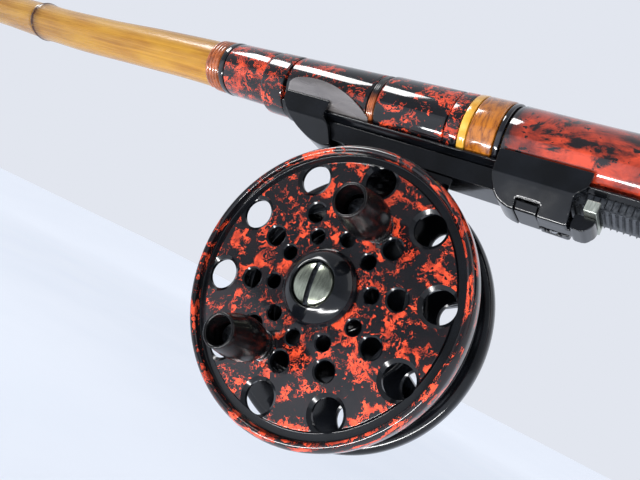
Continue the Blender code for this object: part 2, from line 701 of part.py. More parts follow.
def reel_foot():
    """The foot that the two hoods hold, hollowed on top to the plate's curve."""
    foot = add("reel_foot", prism(foot_outline(0), "Y", -FOOT_HALF, FOOT_HALF), ENAMEL)
    clear = PLATE_R + PLATE_THICK + GAP
    ends = (FOOT_FRONT - MM, FOOT_REAR + MM)
    plate = ((ends[0], 0), (ends[0], clear), (ends[1], clear), (ends[1], 0))
    combine(foot, turned(plate, "X", (0, 0, 0), 48), "DIFFERENCE")
    combine(foot, screw_holes(FOOT_BOTTOM - MM, FOOT_BOTTOM + 2.6 * MM), "DIFFERENCE")


def screw_holes(low, high):
    """Cutters for both foot screws' shanks."""
    return merged(shank(x, low, high, FOOT_SCREW_R + GAP) for x in (-FOOT_SCREW_X, FOOT_SCREW_X))


def shank(x, low, high, radius, sides=10):
    """An upright cylinder at a place along the foot."""
    outline = []
    for step in range(sides):
        turn = 2 * math.pi * step / sides
        outline.append((x + radius * math.cos(turn), radius * math.sin(turn)))
    return prism(outline, "Z", low, high)


def reel_frame():
    """The frame behind the spool: ring, spokes and hub, and the bridge up to the foot."""
    ring_low, ring_high = RING_Y
    web_low, web_high = WEB_Y
    bore = SPINDLE_R + GAP
    ease = 1.8 * MM
    profile = (
        (FRAME_HUB_Y[0], bore),
        (FRAME_HUB_Y[0], FRAME_HUB_R),
        (web_low, FRAME_HUB_R),
        (web_low, RING_INNER_R),
        (ring_low, RING_INNER_R + ease),
        (ring_low, RING_R - ease),
        (ring_low + ease, RING_R),
        (ring_high - ease, RING_R),
        (ring_high, RING_R - ease),
        (ring_high, RING_INNER_R + ease),
        (web_high, RING_INNER_R),
        (web_high, FRAME_HUB_R),
        (FRAME_HUB_Y[1], FRAME_HUB_R - 0.8 * MM),
        (FRAME_HUB_Y[1], bore),
    )
    centre = (0, 0, SPOOL_Z)
    frame = add("reel_frame", turned(profile, "Y", centre, 40, closed=True), ENAMEL)
    windows = []
    for spoke in range(SPOKES):
        middle = 90 + 360 * (spoke + 0.5) / SPOKES
        inner_lean = math.degrees(SPOKE_WIDTH / 2 / WEB_R)
        outer_lean = math.degrees(SPOKE_WIDTH / 2 / RING_INNER_R)
        half = 180 / SPOKES
        outer = RING_INNER_R - 0.6 * MM
        outline = []
        for step in range(5):
            share = -1 + step / 2
            outline.append(on_pitch(outer, middle + share * (half - outer_lean)))
        for step in range(4):
            share = 1 - 2 * step / 3
            outline.append(on_pitch(WEB_R, middle + share * (half - inner_lean)))
        windows.append(prism(outline, "Y", web_low - MM, web_high + MM))
    combine(frame, merged(windows), "DIFFERENCE")
    top = FOOT_BOTTOM - GAP
    flank = SPOOL_Z + math.sqrt((RING_R - ease) ** 2 - BRIDGE_WAIST**2) - MM
    arch = ((-BRIDGE_WAIST, top), (-BRIDGE_WAIST, flank), (BRIDGE_WAIST, flank), (BRIDGE_WAIST, top))
    combine(frame, prism(arch, "Y", ring_low + 0.1 * MM, ring_high - 2.2 * MM), "UNION")
    shelf = ((-BRIDGE_HALF, BRIDGE_FRONT), (BRIDGE_HALF, BRIDGE_FRONT))
    shelf += ((BRIDGE_WAIST - 0.1 * MM, ring_low + MM), (0.1 * MM - BRIDGE_WAIST, ring_low + MM))
    combine(frame, prism(shelf, "Z", BRIDGE_BOTTOM, top), "UNION")
    combine(frame, screw_holes(BRIDGE_BOTTOM - MM, top + MM), "DIFFERENCE")
    slot = CLICK_STEM_HALF + GAP
    middle = SPOOL_Z - CLICK_PITCH
    slot_low = (-slot, web_low - MM, middle - slot)
    slot_high = (slot, web_high + MM, middle + slot + CLICK_TRAVEL)
    combine(frame, block(slot_low, slot_high), "DIFFERENCE")
    for number, x in enumerate((-FOOT_SCREW_X, FOOT_SCREW_X), 1):
        head_top = BRIDGE_BOTTOM - GAP
        screw = shank(x, head_top - 1.2 * MM, head_top, FOOT_SCREW_HEAD_R, 12)
        screw = add(f"foot_screw_{number}", screw, STEEL)
        end = FOOT_BOTTOM + 2.2 * MM
        combine(screw, shank(x, head_top - 0.2 * MM, end, FOOT_SCREW_R), "UNION")


def spindle():
    """The fixed spindle with its rear nut, the two bearings and the spacer between them."""
    centre = (0, 0, SPOOL_Z)
    front = FACE_Y - 2.6 * MM
    seat_rear = FRAME_HUB_Y[1] + GAP
    bore = TENSION_SHANK_R + GAP
    profile = (
        (front + 6 * MM, 0),
        (front + 6 * MM, bore),
        (front, bore),
        (front, SPINDLE_R),
        (seat_rear, SPINDLE_R),
        (seat_rear, 5.0 * MM),
        (seat_rear + 1.6 * MM, 5.0 * MM),
        (seat_rear + 2.4 * MM, 3.8 * MM),
        (seat_rear + 2.4 * MM, 0),
    )
    add("spindle", turned(profile, "Y", centre, 16), STEEL)
    front_seat = FACE_Y + FACE_THICK + 2 * GAP
    rear_seat = BACK_FLANGE_Y[1] - GAP - BEARING_WIDTH
    inner = SPINDLE_R + GAP
    tubes = (
        ("front_bearing", front_seat, front_seat + BEARING_WIDTH, BEARING_R, CHROME),
        ("rear_bearing", rear_seat, rear_seat + BEARING_WIDTH, BEARING_R, CHROME),
        ("bearing_spacer", front_seat + BEARING_WIDTH + GAP, rear_seat - GAP, 4.0 * MM, BRASS),
    )
    for name, low, high, outer, finish in tubes:
        section = ((low, inner), (low, outer), (high, outer), (high, inner))
        add(name, turned(section, "Y", centre, 20, closed=True), finish)


def spool():
    """The pierced face with its rim, the drum behind it, the click gear and the boss."""
    spin = pivot("spool_spin", (0, 0, SPOOL_Z))
    centre = (0, 0, SPOOL_Z)
    rear = FACE_Y + FACE_THICK
    bead = RIM_R - RIM_BEAD
    step = bead - GROOVE
    floor = FACE_Y + GROOVE_DEPTH
    bore = SPINDLE_R + 2 * GAP
    profile = (
        (rear, bore),
        (FACE_Y, bore),
        (FACE_Y, step),
        (floor, step + 0.2 * MM),
        (floor, bead),
        (RIM_FRONT + 0.7 * MM, bead + 0.2 * MM),
        (RIM_FRONT, bead + RIM_BEAD / 2),
        (RIM_FRONT + 1.3 * MM, RIM_R),
        (RIM_REAR, RIM_R),
        (RIM_REAR, bead + 0.4 * MM),
        (rear, bead - 0.4 * MM),
    )
    face = add("spool_face", turned(profile, "Y", centre, 48, closed=True), MARBLED)
    drum_front = rear + GAP
    flange_front, flange_rear = BACK_FLANGE_Y
    hub = BEARING_R + GAP
    profile = (
        (drum_front, hub),
        (flange_rear, hub),
        (flange_rear, BACK_FLANGE_R),
        (flange_front, BACK_FLANGE_R),
        (flange_front, ARBOR_R),
        (drum_front, ARBOR_R),
        (drum_front, ARBOR_R - ARBOR_WALL),
        (flange_front, ARBOR_R - ARBOR_WALL),
        (flange_front, HUB_R),
        (drum_front, HUB_R),
    )
    drum = add("spool_drum", turned(profile, "Y", centre, 32, closed=True), ENAMEL)
    drills = []
    for pitch_r, radius, sides in HOLE_RINGS:
        low, high = FACE_Y - 2 * MM, rear + MM
        for number in range(HOLES_PER_RING):
            x, z = on_pitch(pitch_r, HOLE_PHASE + 360 * number / HOLES_PER_RING)
            drill = ((low, 0), (low, radius), (high, radius), (high, 0))
            drills.append(turned(drill, "Y", (x, 0, z), sides))
    combine(face, merged(drills), "DIFFERENCE")
    pitch_r, radius, _ = HOLE_RINGS[0]
    low, high = flange_front - MM, flange_rear + MM
    drills = []
    for number in range(HOLES_PER_RING):
        x, z = on_pitch(pitch_r, HOLE_PHASE + 360 * number / HOLES_PER_RING)
        drill = ((low, 0), (low, radius), (high, radius), (high, 0))
        drills.append(turned(drill, "Y", (x, 0, z), 8))
    combine(drum, merged(drills), "DIFFERENCE")

    outline = []
    for tooth in range(GEAR_TEETH):
        for share, radius in ((-0.25, GEAR_R), (0.25, GEAR_R), (0.5, GEAR_R - TOOTH_RISE)):
            outline.append(on_pitch(radius, 360 * (tooth + share) / GEAR_TEETH))
    gear_front = flange_rear + GAP
    gear = add("click_gear", prism(outline, "Y", gear_front, gear_front + GEAR_THICK), BRASS)
    hole = ((gear_front - MM, 0), (gear_front - MM, 3.4 * MM))
    hole += ((gear_front + 2 * MM, 3.4 * MM), (gear_front + 2 * MM, 0))
    combine(gear, turned(hole, "Y", centre, 16), "DIFFERENCE")

    base = FACE_Y - GAP
    inner = SCREW_R + GAP
    top = base - BOSS_HEIGHT
    dome = (
        (base, inner),
        (base, BOSS_R),
        (base - 1.4 * MM, BOSS_R),
        (base - 3.4 * MM, BOSS_R - 1.4 * MM),
        (top + 0.3 * MM, BOSS_R - 3.4 * MM),
        (top, BOSS_R - 4.4 * MM),
        (top + 0.8 * MM, inner),
    )
    boss = add("boss_cap", turned(dome, "Y", centre, 24, closed=True), ENAMEL)
    for piece in (face, drum, gear, boss):
        ride(piece, spin)
    return spin


def tension_screw():
    """The coin-slotted screw in the boss, threaded into the spindle."""
    turn = pivot("tension_turn", (0, 0, SPOOL_Z))
    centre = (0, 0, SPOOL_Z)
    seat = FACE_Y - 2.6 * MM - GAP
    head = (
        (seat + 4.6 * MM, 0),
        (seat + 4.6 * MM, TENSION_SHANK_R),
        (seat, TENSION_SHANK_R),
        (seat, SCREW_R),
        (seat - 2.0 * MM, SCREW_R),
        (seat - 2.7 * MM, SCREW_R - 0.8 * MM),
        (seat - 3.2 * MM, SCREW_R / 2),
        (seat - 3.3 * MM, 0),
    )
    screw = ride(add("tension_screw", turned(head, "Y", centre, 24), STEEL), turn)
    half = COIN_SLOT / 2
    slot = block((-half, seat - 4 * MM, -8 * MM), (half, seat - 1.7 * MM, 8 * MM))
    bmesh.ops.rotate(slot, cent=(0, 0, 0), matrix=Matrix.Rotation(COIN_TURN, 3, "Y"), verts=slot.verts)
    bmesh.ops.translate(slot, vec=centre, verts=slot.verts)
    combine(screw, slot, "DIFFERENCE")


def knob(side, spin):
    """A handle knob, the post that it turns on, and the screw that holds it."""
    x, z = on_pitch(KNOB_PITCH_R, KNOB_ANGLES[side])
    centre = (x, 0, z)
    base = FACE_Y - GAP
    start = base - POST_FLANGE - GAP
    tip = FACE_Y - KNOB_TIP
    floor = tip + KNOB_RECESS
    end = floor - 0.6 * MM
    pilot = 1.2 * MM
    post = (
        (base, 0),
        (base, POST_FLANGE_R),
        (base - POST_FLANGE, POST_FLANGE_R),
        (base - POST_FLANGE, POST_R),
        (end, POST_R),
        (end, pilot),
        (end + 4 * MM, pilot),
        (end + 4 * MM, 0),
    )
    ride(add(f"knob_post_{side}", turned(post, "Y", centre, 12), STEEL), spin)
    turn = ride(pivot(f"knob_{side}_spin", centre), spin)
    length = start - tip
    bore = POST_R + GAP
    profile = (
        (start, bore),
        (start, KNOB_NECK_R),
        (start - 0.28 * length, KNOB_BELLY_R - 0.4 * MM),
        (start - 0.45 * length, KNOB_BELLY_R),
        (start - 0.65 * length, KNOB_BELLY_R - 0.2 * MM),
        (start - 0.85 * length, KNOB_TIP_R + 0.5 * MM),
        (tip + 0.4 * MM, KNOB_TIP_R),
        (tip, KNOB_TIP_R - 0.4 * MM),
        (tip, KNOB_RECESS_R),
        (floor, KNOB_RECESS_R),
        (floor, bore),
    )
    ride(add(f"knob_{side}", turned(profile, "Y", centre, 16, closed=True), ENAMEL), turn)
    head = end - GAP
    shank_r = pilot - GAP
    screw = (
        (head + 3.4 * MM, 0),
        (head + 3.4 * MM, shank_r),
        (head, shank_r),
        (head, 3.0 * MM),
        (head - 1.2 * MM, 3.0 * MM),
        (head - 1.6 * MM, 0),
    )
    ride(add(f"knob_screw_{side}", turned(screw, "Y", centre, 12), STEEL), spin)


def click():
    """The click button on the frame's back, and the pawl that it carries to the gear."""
    slide = pivot("click_slide", (0, 0, SPOOL_Z - CLICK_PITCH))
    middle = SPOOL_Z - CLICK_PITCH
    back = WEB_Y[1] + GAP
    profile = (
        (back, 0),
        (back, CLICK_BUTTON_R),
        (back + 1.8 * MM, CLICK_BUTTON_R),
        (back + 2.6 * MM, CLICK_BUTTON_R - 1.2 * MM),
        (back + 2.6 * MM, 0),
    )
    button = add("click_button", turned(profile, "Y", (0, 0, middle), 16), CHROME)
    pawl_y = (BACK_FLANGE_Y[1] + 2 * GAP, WEB_Y[0] - 3 * GAP)
    half = CLICK_STEM_HALF
    stem = block((-half, pawl_y[1] + GAP, middle - half), (half, back + 0.4 * MM, middle + half))
    combine(button, stem, "UNION")
    ride(button, slide)
    tip = SPOOL_Z - GEAR_R - CLICK_CLEAR - CLICK_TRAVEL
    outline = (
        (-0.3 * MM, tip),
        (-2.6 * MM, middle + 2 * MM),
        (-2.6 * MM, middle - 2.4 * MM),
        (2.6 * MM, middle - 2.4 * MM),
        (2.6 * MM, middle + 2 * MM),
        (0.3 * MM, tip),
    )
    ride(add("click_pawl", prism(outline, "Y", *pawl_y), BRASS), slide)


def main():
    """Build every piece."""
    rod_core()
    grip()
    guides(ferrule_and_tip())
    seat_plate()
    seat_saddle()
    fixed_hood()
    sliding_hood()
    reel_foot()
    reel_frame()
    spindle()
    spin = spool()
    tension_screw()
    for side in KNOB_ANGLES:
        knob(side, spin)
    click()


main()
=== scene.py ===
"""The looks of a bamboo raft rod with a lacquered grip, a hooded seat and a centre-pin reel.

+X runs to the butt, +Y from the reel's face to its back and +Z up from the reel to the rod. Sizes
are in metres, and what seats on the frame takes its place from the frame's own boxes.
"""

import json
import math

import bmesh
import bpy
from bpy.props import FloatProperty, FloatVectorProperty, PointerProperty
from mathutils import Matrix, Quaternion, Vector


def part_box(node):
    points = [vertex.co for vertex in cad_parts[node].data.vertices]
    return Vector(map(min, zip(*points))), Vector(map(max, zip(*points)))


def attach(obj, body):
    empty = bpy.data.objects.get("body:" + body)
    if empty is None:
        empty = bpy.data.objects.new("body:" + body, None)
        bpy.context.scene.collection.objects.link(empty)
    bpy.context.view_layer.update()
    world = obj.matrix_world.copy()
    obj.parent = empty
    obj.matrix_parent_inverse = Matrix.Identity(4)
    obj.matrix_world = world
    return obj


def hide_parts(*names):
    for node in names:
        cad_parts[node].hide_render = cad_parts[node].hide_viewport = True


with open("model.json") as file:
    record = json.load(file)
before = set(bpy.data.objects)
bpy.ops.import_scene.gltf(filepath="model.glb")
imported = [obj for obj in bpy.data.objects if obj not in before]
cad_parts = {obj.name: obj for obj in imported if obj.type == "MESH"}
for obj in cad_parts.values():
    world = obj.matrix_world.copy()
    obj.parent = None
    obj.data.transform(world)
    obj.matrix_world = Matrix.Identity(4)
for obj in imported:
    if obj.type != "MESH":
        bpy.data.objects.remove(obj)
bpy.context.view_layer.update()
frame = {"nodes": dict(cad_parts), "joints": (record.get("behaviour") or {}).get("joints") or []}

bl_info = {
    "name": "Bamboo raft rod and centre-pin reel",
    "version": (1, 0, 0),
    "blender": (4, 5, 0),
    "location": "3D View > Sidebar > Raft rod",
    "description": "Builds the rod, its lacquered grip and seat, and the reel on the packed frame",
    "category": "Object",
}

MM = 0.001
JOINTS = {joint["name"]: joint for joint in frame["joints"]}
SPOOL = Vector(JOINTS["spool_spin"]["pos_m"])
LEVER_PIN = Vector(JOINTS["lever_tilt"]["pos_m"])

GAP = 0.3 * MM  # clearance between pieces that touch
EASE = 0.45 * MM  # rounding on a turned edge
GRIP_SIDES = 96
REEL_SIDES = 160
HOOP_SIDES = 64
PIN_SIDES = 32
SCREW_SIDES = 40

# Rod
CORE_R = 8.0 * MM
BLANK_R = 8.4 * MM
BLANK_FRONT_R = 7.0 * MM
GRIP_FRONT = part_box("front_wrap")[0].x
BUTT_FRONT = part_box("butt_blank")[0].x
TIP_FRONT, TIP_REAR = (corner.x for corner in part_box("tip_blank"))
BUTT_NODES = (-205 * MM, -338 * MM)
TIP_NODES = (-560 * MM, -650 * MM, -738 * MM, -824 * MM, -908 * MM, -990 * MM)
NODE_RISE = 0.95 * MM
SWAY = 1.5 * MM  # the cane's natural bend between the grip and its first node
SWAY_SPAN = (-262 * MM, -95 * MM)
PLUG_R = 4.0 * MM
TURN_FILL = 0.52  # a thread's radius over its pitch, so that its turns just overlap
GUIDES = range(1, 7)
HOOP_WALL = 1.1 * MM
HOOP_HALF = 1.1 * MM

# Reel seat
PLATE_R = 11.2 * MM
PLATE_THICK = 1.0 * MM
PLATE_ANGLE = 40
TONGUE_R = CORE_R + GAP
TONGUE_THICK = 0.9 * MM
TONGUE_ANGLE = 24
TONGUE_LENGTH = 9.5 * MM
JOGGLE = 1.8 * MM
SADDLE_R = 10.4 * MM
SADDLE_THICK = 0.5 * MM
RACK_HALF = 6.0 * MM
RACK_BOTTOM = -14.0 * MM
RACK_FRONT = 49.0 * MM
TOOTH_PITCH = 1.6 * MM
TOOTH_R = 0.75 * MM
HOOD_SHOULDER = -13.0 * MM
HOOD_SOLE = -20.2 * MM
HOOD_SOLE_HALF = 5.6 * MM
HOOD_FLOOR = -17.2 * MM
FOOT_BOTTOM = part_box("reel_foot")[0].z
FOOT_FLAT = (-26 * MM, 35 * MM)
FOOT_TOE = -14.6 * MM
PAD_X = (38.6 * MM, 44.4 * MM)
PAD_TOP = -17.6 * MM
TAB_TOP = -15.9 * MM
LEVER_PIN_R = 0.9 * MM
LEVER_ARM_HALF = 2.2 * MM

# Reel
RIM_R = (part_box("spool_face")[1].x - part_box("spool_face")[0].x) / 2
RIM_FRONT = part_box("spool_face")[0].y
RIM_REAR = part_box("spool_face")[1].y
RIM_BEAD = 2.7 * MM
RIM_STRETCH = 2.6  # how much longer the rim's patches are than they are wide
FACE_Y = RIM_FRONT + 2.0 * MM
FACE_THICK = 2.2 * MM
GROOVE = 2.7 * MM
GROOVE_DEPTH = 0.9 * MM
HOLES = 10
COUNTERSINK = 0.75  # its depth over its width
HOLE_PHASE = math.radians(14.5)
# Each ring of holes: the circle it lies on, the holes' radius and their countersink
HOLE_RINGS = (
    (34.5 * MM, 4.65 * MM, 1.1 * MM),
    (23.2 * MM, 3.0 * MM, 0.5 * MM),
    (15.6 * MM, 2.25 * MM, 0.4 * MM),
)
ARBOR_R = 26.0 * MM
ARBOR_WALL = 1.7 * MM
HUB_R = 9.0 * MM
HUB_BORE = 6.8 * MM
SPINDLE_R = 2.5 * MM
BOSS_R = 11.5 * MM
SCREW_R = 6.2 * MM
COIN_SLOT = 1.6 * MM
COIN_TURN = math.radians(-8)
RING_INNER_R = 37.0 * MM
WEB_Y = (11.0 * MM, 13.2 * MM)
WEB_R = 22.0 * MM
FRAME_HUB_R = 8.0 * MM
SPOKES = 6
SPOKE_WIDTH = 8.0 * MM
FOOT_HALF = 6.0 * MM
FOOT_SCREW_X = 9.0 * MM
FOOT_SCREW_R = 1.1 * MM

# Stage
FLOOR_Z = -0.31
CAMERA_PLACE = Vector((86.5, -161.4, -67.5)) * MM
CAMERA_AIM = Vector((-7.8, -9.3, -47.9)) * MM
CAMERA_ROLL = math.radians(26.85)
CAMERA_LENS = 34.875  # mm, on a 36 mm sensor


def linear(code):
    """An sRGB hex colour as linear red, green and blue."""
    parts = [int(code[place : place + 2], 16) / 255 for place in (1, 3, 5)]
    return tuple(v / 12.92 if v <= 0.04045 else ((v + 0.055) / 1.055) ** 2.4 for v in parts)


def colour_property(name, code, description):
    """A colour that a user can change."""
    return FloatVectorProperty(
        name=name, description=description, subtype="COLOR", size=3, min=0, max=1, default=linear(code)
    )


class RaftRodFinish(bpy.types.PropertyGroup):
    """Colours of the rod and reel."""

    bamboo: colour_property("Bamboo", "#B07C28", "Varnished cane")
    bamboo_dark: colour_property("Bamboo shade", "#93631D", "Darker streaks in the cane")
    node_brown: colour_property("Node ring", "#3A1C10", "Sheath scar at a bamboo node")
    vermilion: colour_property("Vermilion", "#D94A2A", "Bright patches in the lacquer")
    deep_red: colour_property("Deep red", "#8E2C1A", "Darker patches in the lacquer")
    black: colour_property("Black", "#0B0B0E", "Lacquer and enamel ground")
    thread: colour_property("Thread", "#A9592B", "Whipping thread under lacquer")
    amber: colour_property("Amber", "#A9641A", "Cane strip under clear lacquer")
    yellow: colour_property("Yellow", "#C58A1B", "Narrow band behind the grip")


class RaftRodSizes(bpy.types.PropertyGroup):
    """Sizes of the surface detail."""

    thread_pitch: FloatProperty(
        name="Thread pitch",
        description="Spacing of the turns in a thread wrap",
        default=0.6 * MM,
        min=0.2 * MM,
        unit="LENGTH",
    )
    cast_voxel: FloatProperty(
        name="Casting detail",
        description="Smallest detail kept on the softened castings",
        default=0.24 * MM,
        min=0.1 * MM,
        unit="LENGTH",
    )
    key_power: FloatProperty(
        name="Key light", description="Power of the large soft light", default=29.0, unit="POWER"
    )
    fill_power: FloatProperty(
        name="Fill light", description="Power of the weak light from the butt", default=8.0, unit="POWER"
    )
    strip_power: FloatProperty(
        name="Strip light", description="Power of the low strip light", default=1.6, unit="POWER"
    )


# ---------------------------------------------------------------- materials


def add_node(tree, kind, inputs=None, out=0, **settings):
    """Add a node with its settings, set or link its inputs, and give one of its outputs."""
    made = tree.nodes.new(kind)
    for name, value in settings.items():
        setattr(made, name, value)
    for key, value in (inputs or {}).items():
        socket = made.inputs[key]
        if isinstance(value, bpy.types.NodeSocket):
            tree.links.new(value, socket)
        else:
            socket.default_value = (*value, 1.0) if socket.type == "RGBA" else value
    return made.outputs[out] if made.outputs else made


def new_finish(name):
    """A material and its empty tree."""
    made = bpy.data.materials.new(name)
    made.use_nodes = True
    made.node_tree.nodes.clear()
    return made, made.node_tree


def surface(tree, **sockets):
    """End a material's tree in its shader, with constants and links on the shader's own sockets."""
    inputs = {key.replace("_", " "): value for key, value in sockets.items()}
    shader = add_node(tree, "ShaderNodeBsdfPrincipled", inputs)
    add_node(tree, "ShaderNodeOutputMaterial", {"Surface": shader})


def in_mm(tree, stretch=(1, 1, 1), centre=(0, 0, 0)):
    """The piece's coordinates from a centre, in millimetres, each axis divided by its stretch."""
    place = add_node(tree, "ShaderNodeTexCoord", out="Object")
    scale = [1 / MM / part for part in stretch]
    shift = [-part * factor for part, factor in zip(centre, scale)]
    return add_node(tree, "ShaderNodeMapping", {"Vector": place, "Scale": scale, "Location": shift})


def clouds(tree, coords, size, low, high, detail=3.0, rough=0.5, twist=0.0):
    """Clouds of about a size in the coordinates' units: 0 below one level and 1 above another."""
    inputs = {"Vector": coords, "Scale": 1 / size, "Detail": detail, "Roughness": rough, "Distortion": twist}
    level = add_node(tree, "ShaderNodeTexNoise", inputs)
    return add_node(tree, "ShaderNodeMapRange", {"Value": level, "From Min": low, "From Max": high})


def layered(tree, ground, *layers):
    """Colours laid over a ground in turn: each layer is its share, from 0 to 1, and its colour."""
    for share, colour in layers:
        sides = {"Factor": share, 6: ground, 7: colour}
        ground = add_node(tree, "ShaderNodeMix", sides, 2, data_type="RGBA")
    return ground


def sheen(tree, smear, gloss, height, depth, strength):
    """Roughness that follows one field, and a bump of a real depth that follows another."""
    low, high = gloss
    rough = add_node(tree, "ShaderNodeMapRange", {"Value": smear, "To Min": low, "To Max": high})
    bump = add_node(tree, "ShaderNodeBump", {"Height": height, "Distance": depth, "Strength": strength})
    return {"Roughness": rough, "Normal": bump}


def polish(tree, coords, low=0.06, high=0.14):
    """Uneven gloss and the faint ripple of brushed lacquer."""
    smear = clouds(tree, coords, 9.0, 0.3, 0.7, 3.0, 0.6)
    ripple = add_node(tree, "ShaderNodeTexNoise", {"Vector": coords, "Scale": 1 / 3.5})
    return sheen(tree, smear, (low, high), ripple, 0.02 * MM, 0.35)


def off_line(tree, field, middle, low, high):
    """0 where a field lies one distance from its middle value, rising to 1 at another."""
    away = add_node(tree, "ShaderNodeMath", {0: field, 1: middle}, operation="SUBTRACT")
    away = add_node(tree, "ShaderNodeMath", {0: away}, operation="ABSOLUTE")
    return add_node(tree, "ShaderNodeMapRange", {"Value": away, "From Min": low, "From Max": high})


def torn_patches(tree, coords, patch, level, veins=0.022, worms=0.02):
    """A mask of torn patches of a size: dark veins run through them, and fine worms lie between."""
    drift = {"Vector": coords, "Scale": 1 / (patch * 0.9), "Detail": 3.0, "Roughness": 0.55}
    drift = add_node(tree, "ShaderNodeTexNoise", drift, "Color")
    drift = add_node(tree, "ShaderNodeVectorMath", {0: drift, 1: (0.5, 0.5, 0.5)}, operation="SUBTRACT")
    torn = {0: drift, 1: (patch * 1.7,) * 3, 2: coords}
    torn = add_node(tree, "ShaderNodeVectorMath", torn, operation="MULTIPLY_ADD")
    fields = []
    for size, detail, rough, twist in ((1.0, 4.0, 0.62, 0.4), (0.32, 2.0, 0.5, 0.3), (0.24, 2.0, 0.5, 0.6)):
        field = {"Vector": torn, "Scale": 1 / (patch * size), "Detail": detail, "Roughness": rough}
        fields.append(add_node(tree, "ShaderNodeTexNoise", {**field, "Distortion": twist}))
    broad, vein, worm = fields
    edge = {"Value": broad, "From Min": level - 0.008, "From Max": level + 0.008}
    near = {"Value": broad, "From Min": level - 0.075, "From Max": level - 0.055}
    edge = {0: add_node(tree, "ShaderNodeMapRange", edge), 1: off_line(tree, vein, 0.5, veins * 0.6, veins)}
    near = {0: add_node(tree, "ShaderNodeMapRange", near), 1: off_line(tree, worm, 0.44, worms, worms * 0.6)}
    both = [add_node(tree, "ShaderNodeMath", pair, operation="MULTIPLY") for pair in (edge, near)]
    return add_node(tree, "ShaderNodeMath", {0: both[0], 1: both[1]}, operation="MAXIMUM")


def paints():
    """The colours that a user can change."""
    return bpy.context.scene.raft_rod_finish


def marbled(name, coords_of, patch, level, ground, shade=0.5, **detail):
    """Black lacquer or enamel with torn vermilion patches, rubbed level and polished."""
    made, tree = new_finish(name)
    coords = coords_of(tree)
    tone = clouds(tree, coords, patch * 0.7, shade - 0.12, shade + 0.08, 3.0, 0.6)
    red = layered(tree, paints().deep_red, (tone, paints().vermilion))
    shadow = clouds(tree, coords, patch * 1.3, 0.45, 0.75, 3.0, 0.6)
    dark = layered(tree, paints().black, (shadow, linear(ground)))
    tone = layered(tree, dark, (torn_patches(tree, coords, patch, level, **detail), red))
    surface(tree, Base_Color=tone, Coat_Weight=0.25, Coat_Roughness=0.05, **polish(tree, coords))
    return made


def face_marbling():
    """Enamel on the spool's face: the patches lie 2 to 8 mm across, with black between them."""
    return marbled("marbled_enamel_face", in_mm, 5.2, 0.565, "#1A1012", worms=0.026)


def rim_coords(tree):
    """Round the spool's axis: patches stretch along the rim, and are narrow across it."""
    place = in_mm(tree, centre=SPOOL)
    flat = add_node(tree, "ShaderNodeVectorMath", {0: place, 1: (1.0, 0.0, 1.0)}, operation="MULTIPLY")
    reach = add_node(tree, "ShaderNodeVectorMath", {0: flat}, "Value", operation="LENGTH")
    unit = add_node(tree, "ShaderNodeVectorMath", {0: flat}, operation="NORMALIZE")
    along = {0: unit, "Scale": RIM_R / MM / RIM_STRETCH}
    along = add_node(tree, "ShaderNodeVectorMath", along, operation="SCALE")
    depth = add_node(tree, "ShaderNodeSeparateXYZ", {0: place}, "Y")
    across = add_node(tree, "ShaderNodeMath", {0: depth, 1: reach}, operation="ADD")
    across = add_node(tree, "ShaderNodeCombineXYZ", {"Y": across})
    return add_node(tree, "ShaderNodeVectorMath", {0: along, 1: across}, operation="ADD")


def rim_marbling():
    """Enamel on the rim: long orange-red patches that run round it."""
    return marbled("marbled_enamel_rim", rim_coords, 3.4, 0.545, "#1A1012", veins=0.012, worms=0.01)


def grip_coords(tree):
    """Along the grip, the patches are a little longer than they are wide."""
    return in_mm(tree, stretch=(1.25, 1, 1))


def mottled_grip():
    """Lacquer ahead of the seat: vermilion worn through a brown-black ground."""
    return marbled("mottled_lacquer_front", grip_coords, 5.0, 0.50, "#2E1C20", 0.56, veins=0.035)


def dark_grip():
    """Lacquer beside the seat: black, with vermilion in clusters."""
    return marbled("marbled_lacquer_dark", grip_coords, 6.0, 0.55, "#1C1418", 0.56, worms=0.03)


def dense_grip():
    """Lacquer above the reel: black, with dense curled clusters of vermilion."""
    return marbled("marbled_lacquer_dense", grip_coords, 6.4, 0.55, "#14161C", veins=0.035, worms=0.03)


def red_grip():
    """Vermilion lacquer on the rear grip, clouded and speckled with black, and black at its front."""
    made, tree = new_finish("clouded_red_lacquer")
    coords = in_mm(tree, stretch=(1.6, 1, 1))
    red = clouds(tree, coords, 7.0, 0.38, 0.64, 5.0, 0.68, 0.5)
    red = layered(tree, linear("#5E1C14"), (red, linear("#B83E24")))
    smoke = {"Vector": coords, "Scale": 1 / 11.0, "Detail": 6.0, "Roughness": 0.7, "Distortion": 0.9}
    smoke = add_node(tree, "ShaderNodeTexNoise", smoke)
    dark = add_node(tree, "ShaderNodeMapRange", {"Value": smoke, "From Min": 0.52, "From Max": 0.60})
    along = add_node(tree, "ShaderNodeSeparateXYZ", {0: in_mm(tree)}, "X")
    wisp = add_node(tree, "ShaderNodeMath", {0: smoke, 1: -9.0, 2: 4.5}, operation="MULTIPLY_ADD")
    front = add_node(tree, "ShaderNodeMath", {0: along, 1: wisp}, operation="ADD")
    front = add_node(tree, "ShaderNodeMapRange", {"Value": front, "From Min": 34.0, "From Max": 30.0})
    for more in (clouds(tree, coords, 2.2, 0.62, 0.65, 3.0, 0.6), front):
        dark = add_node(tree, "ShaderNodeMath", {0: dark, 1: more}, operation="MAXIMUM")
    tone = layered(tree, red, (dark, linear("#140E10")))
    surface(tree, Base_Color=tone, Coat_Weight=0.6, Coat_Roughness=0.02, **polish(tree, coords))
    return made


def clouded(name, ground, tint, size, edges, gloss, stretch=(1, 1, 1), grain=(3.0,), **sockets):
    """A finish with clouds of a tint in its ground, under uneven gloss."""
    made, tree = new_finish(name)
    coords = in_mm(tree, stretch)
    tone = layered(tree, ground, (clouds(tree, coords, size, *edges, *grain), tint))
    surface(tree, Base_Color=tone, **polish(tree, coords, *gloss), **sockets)
    return made


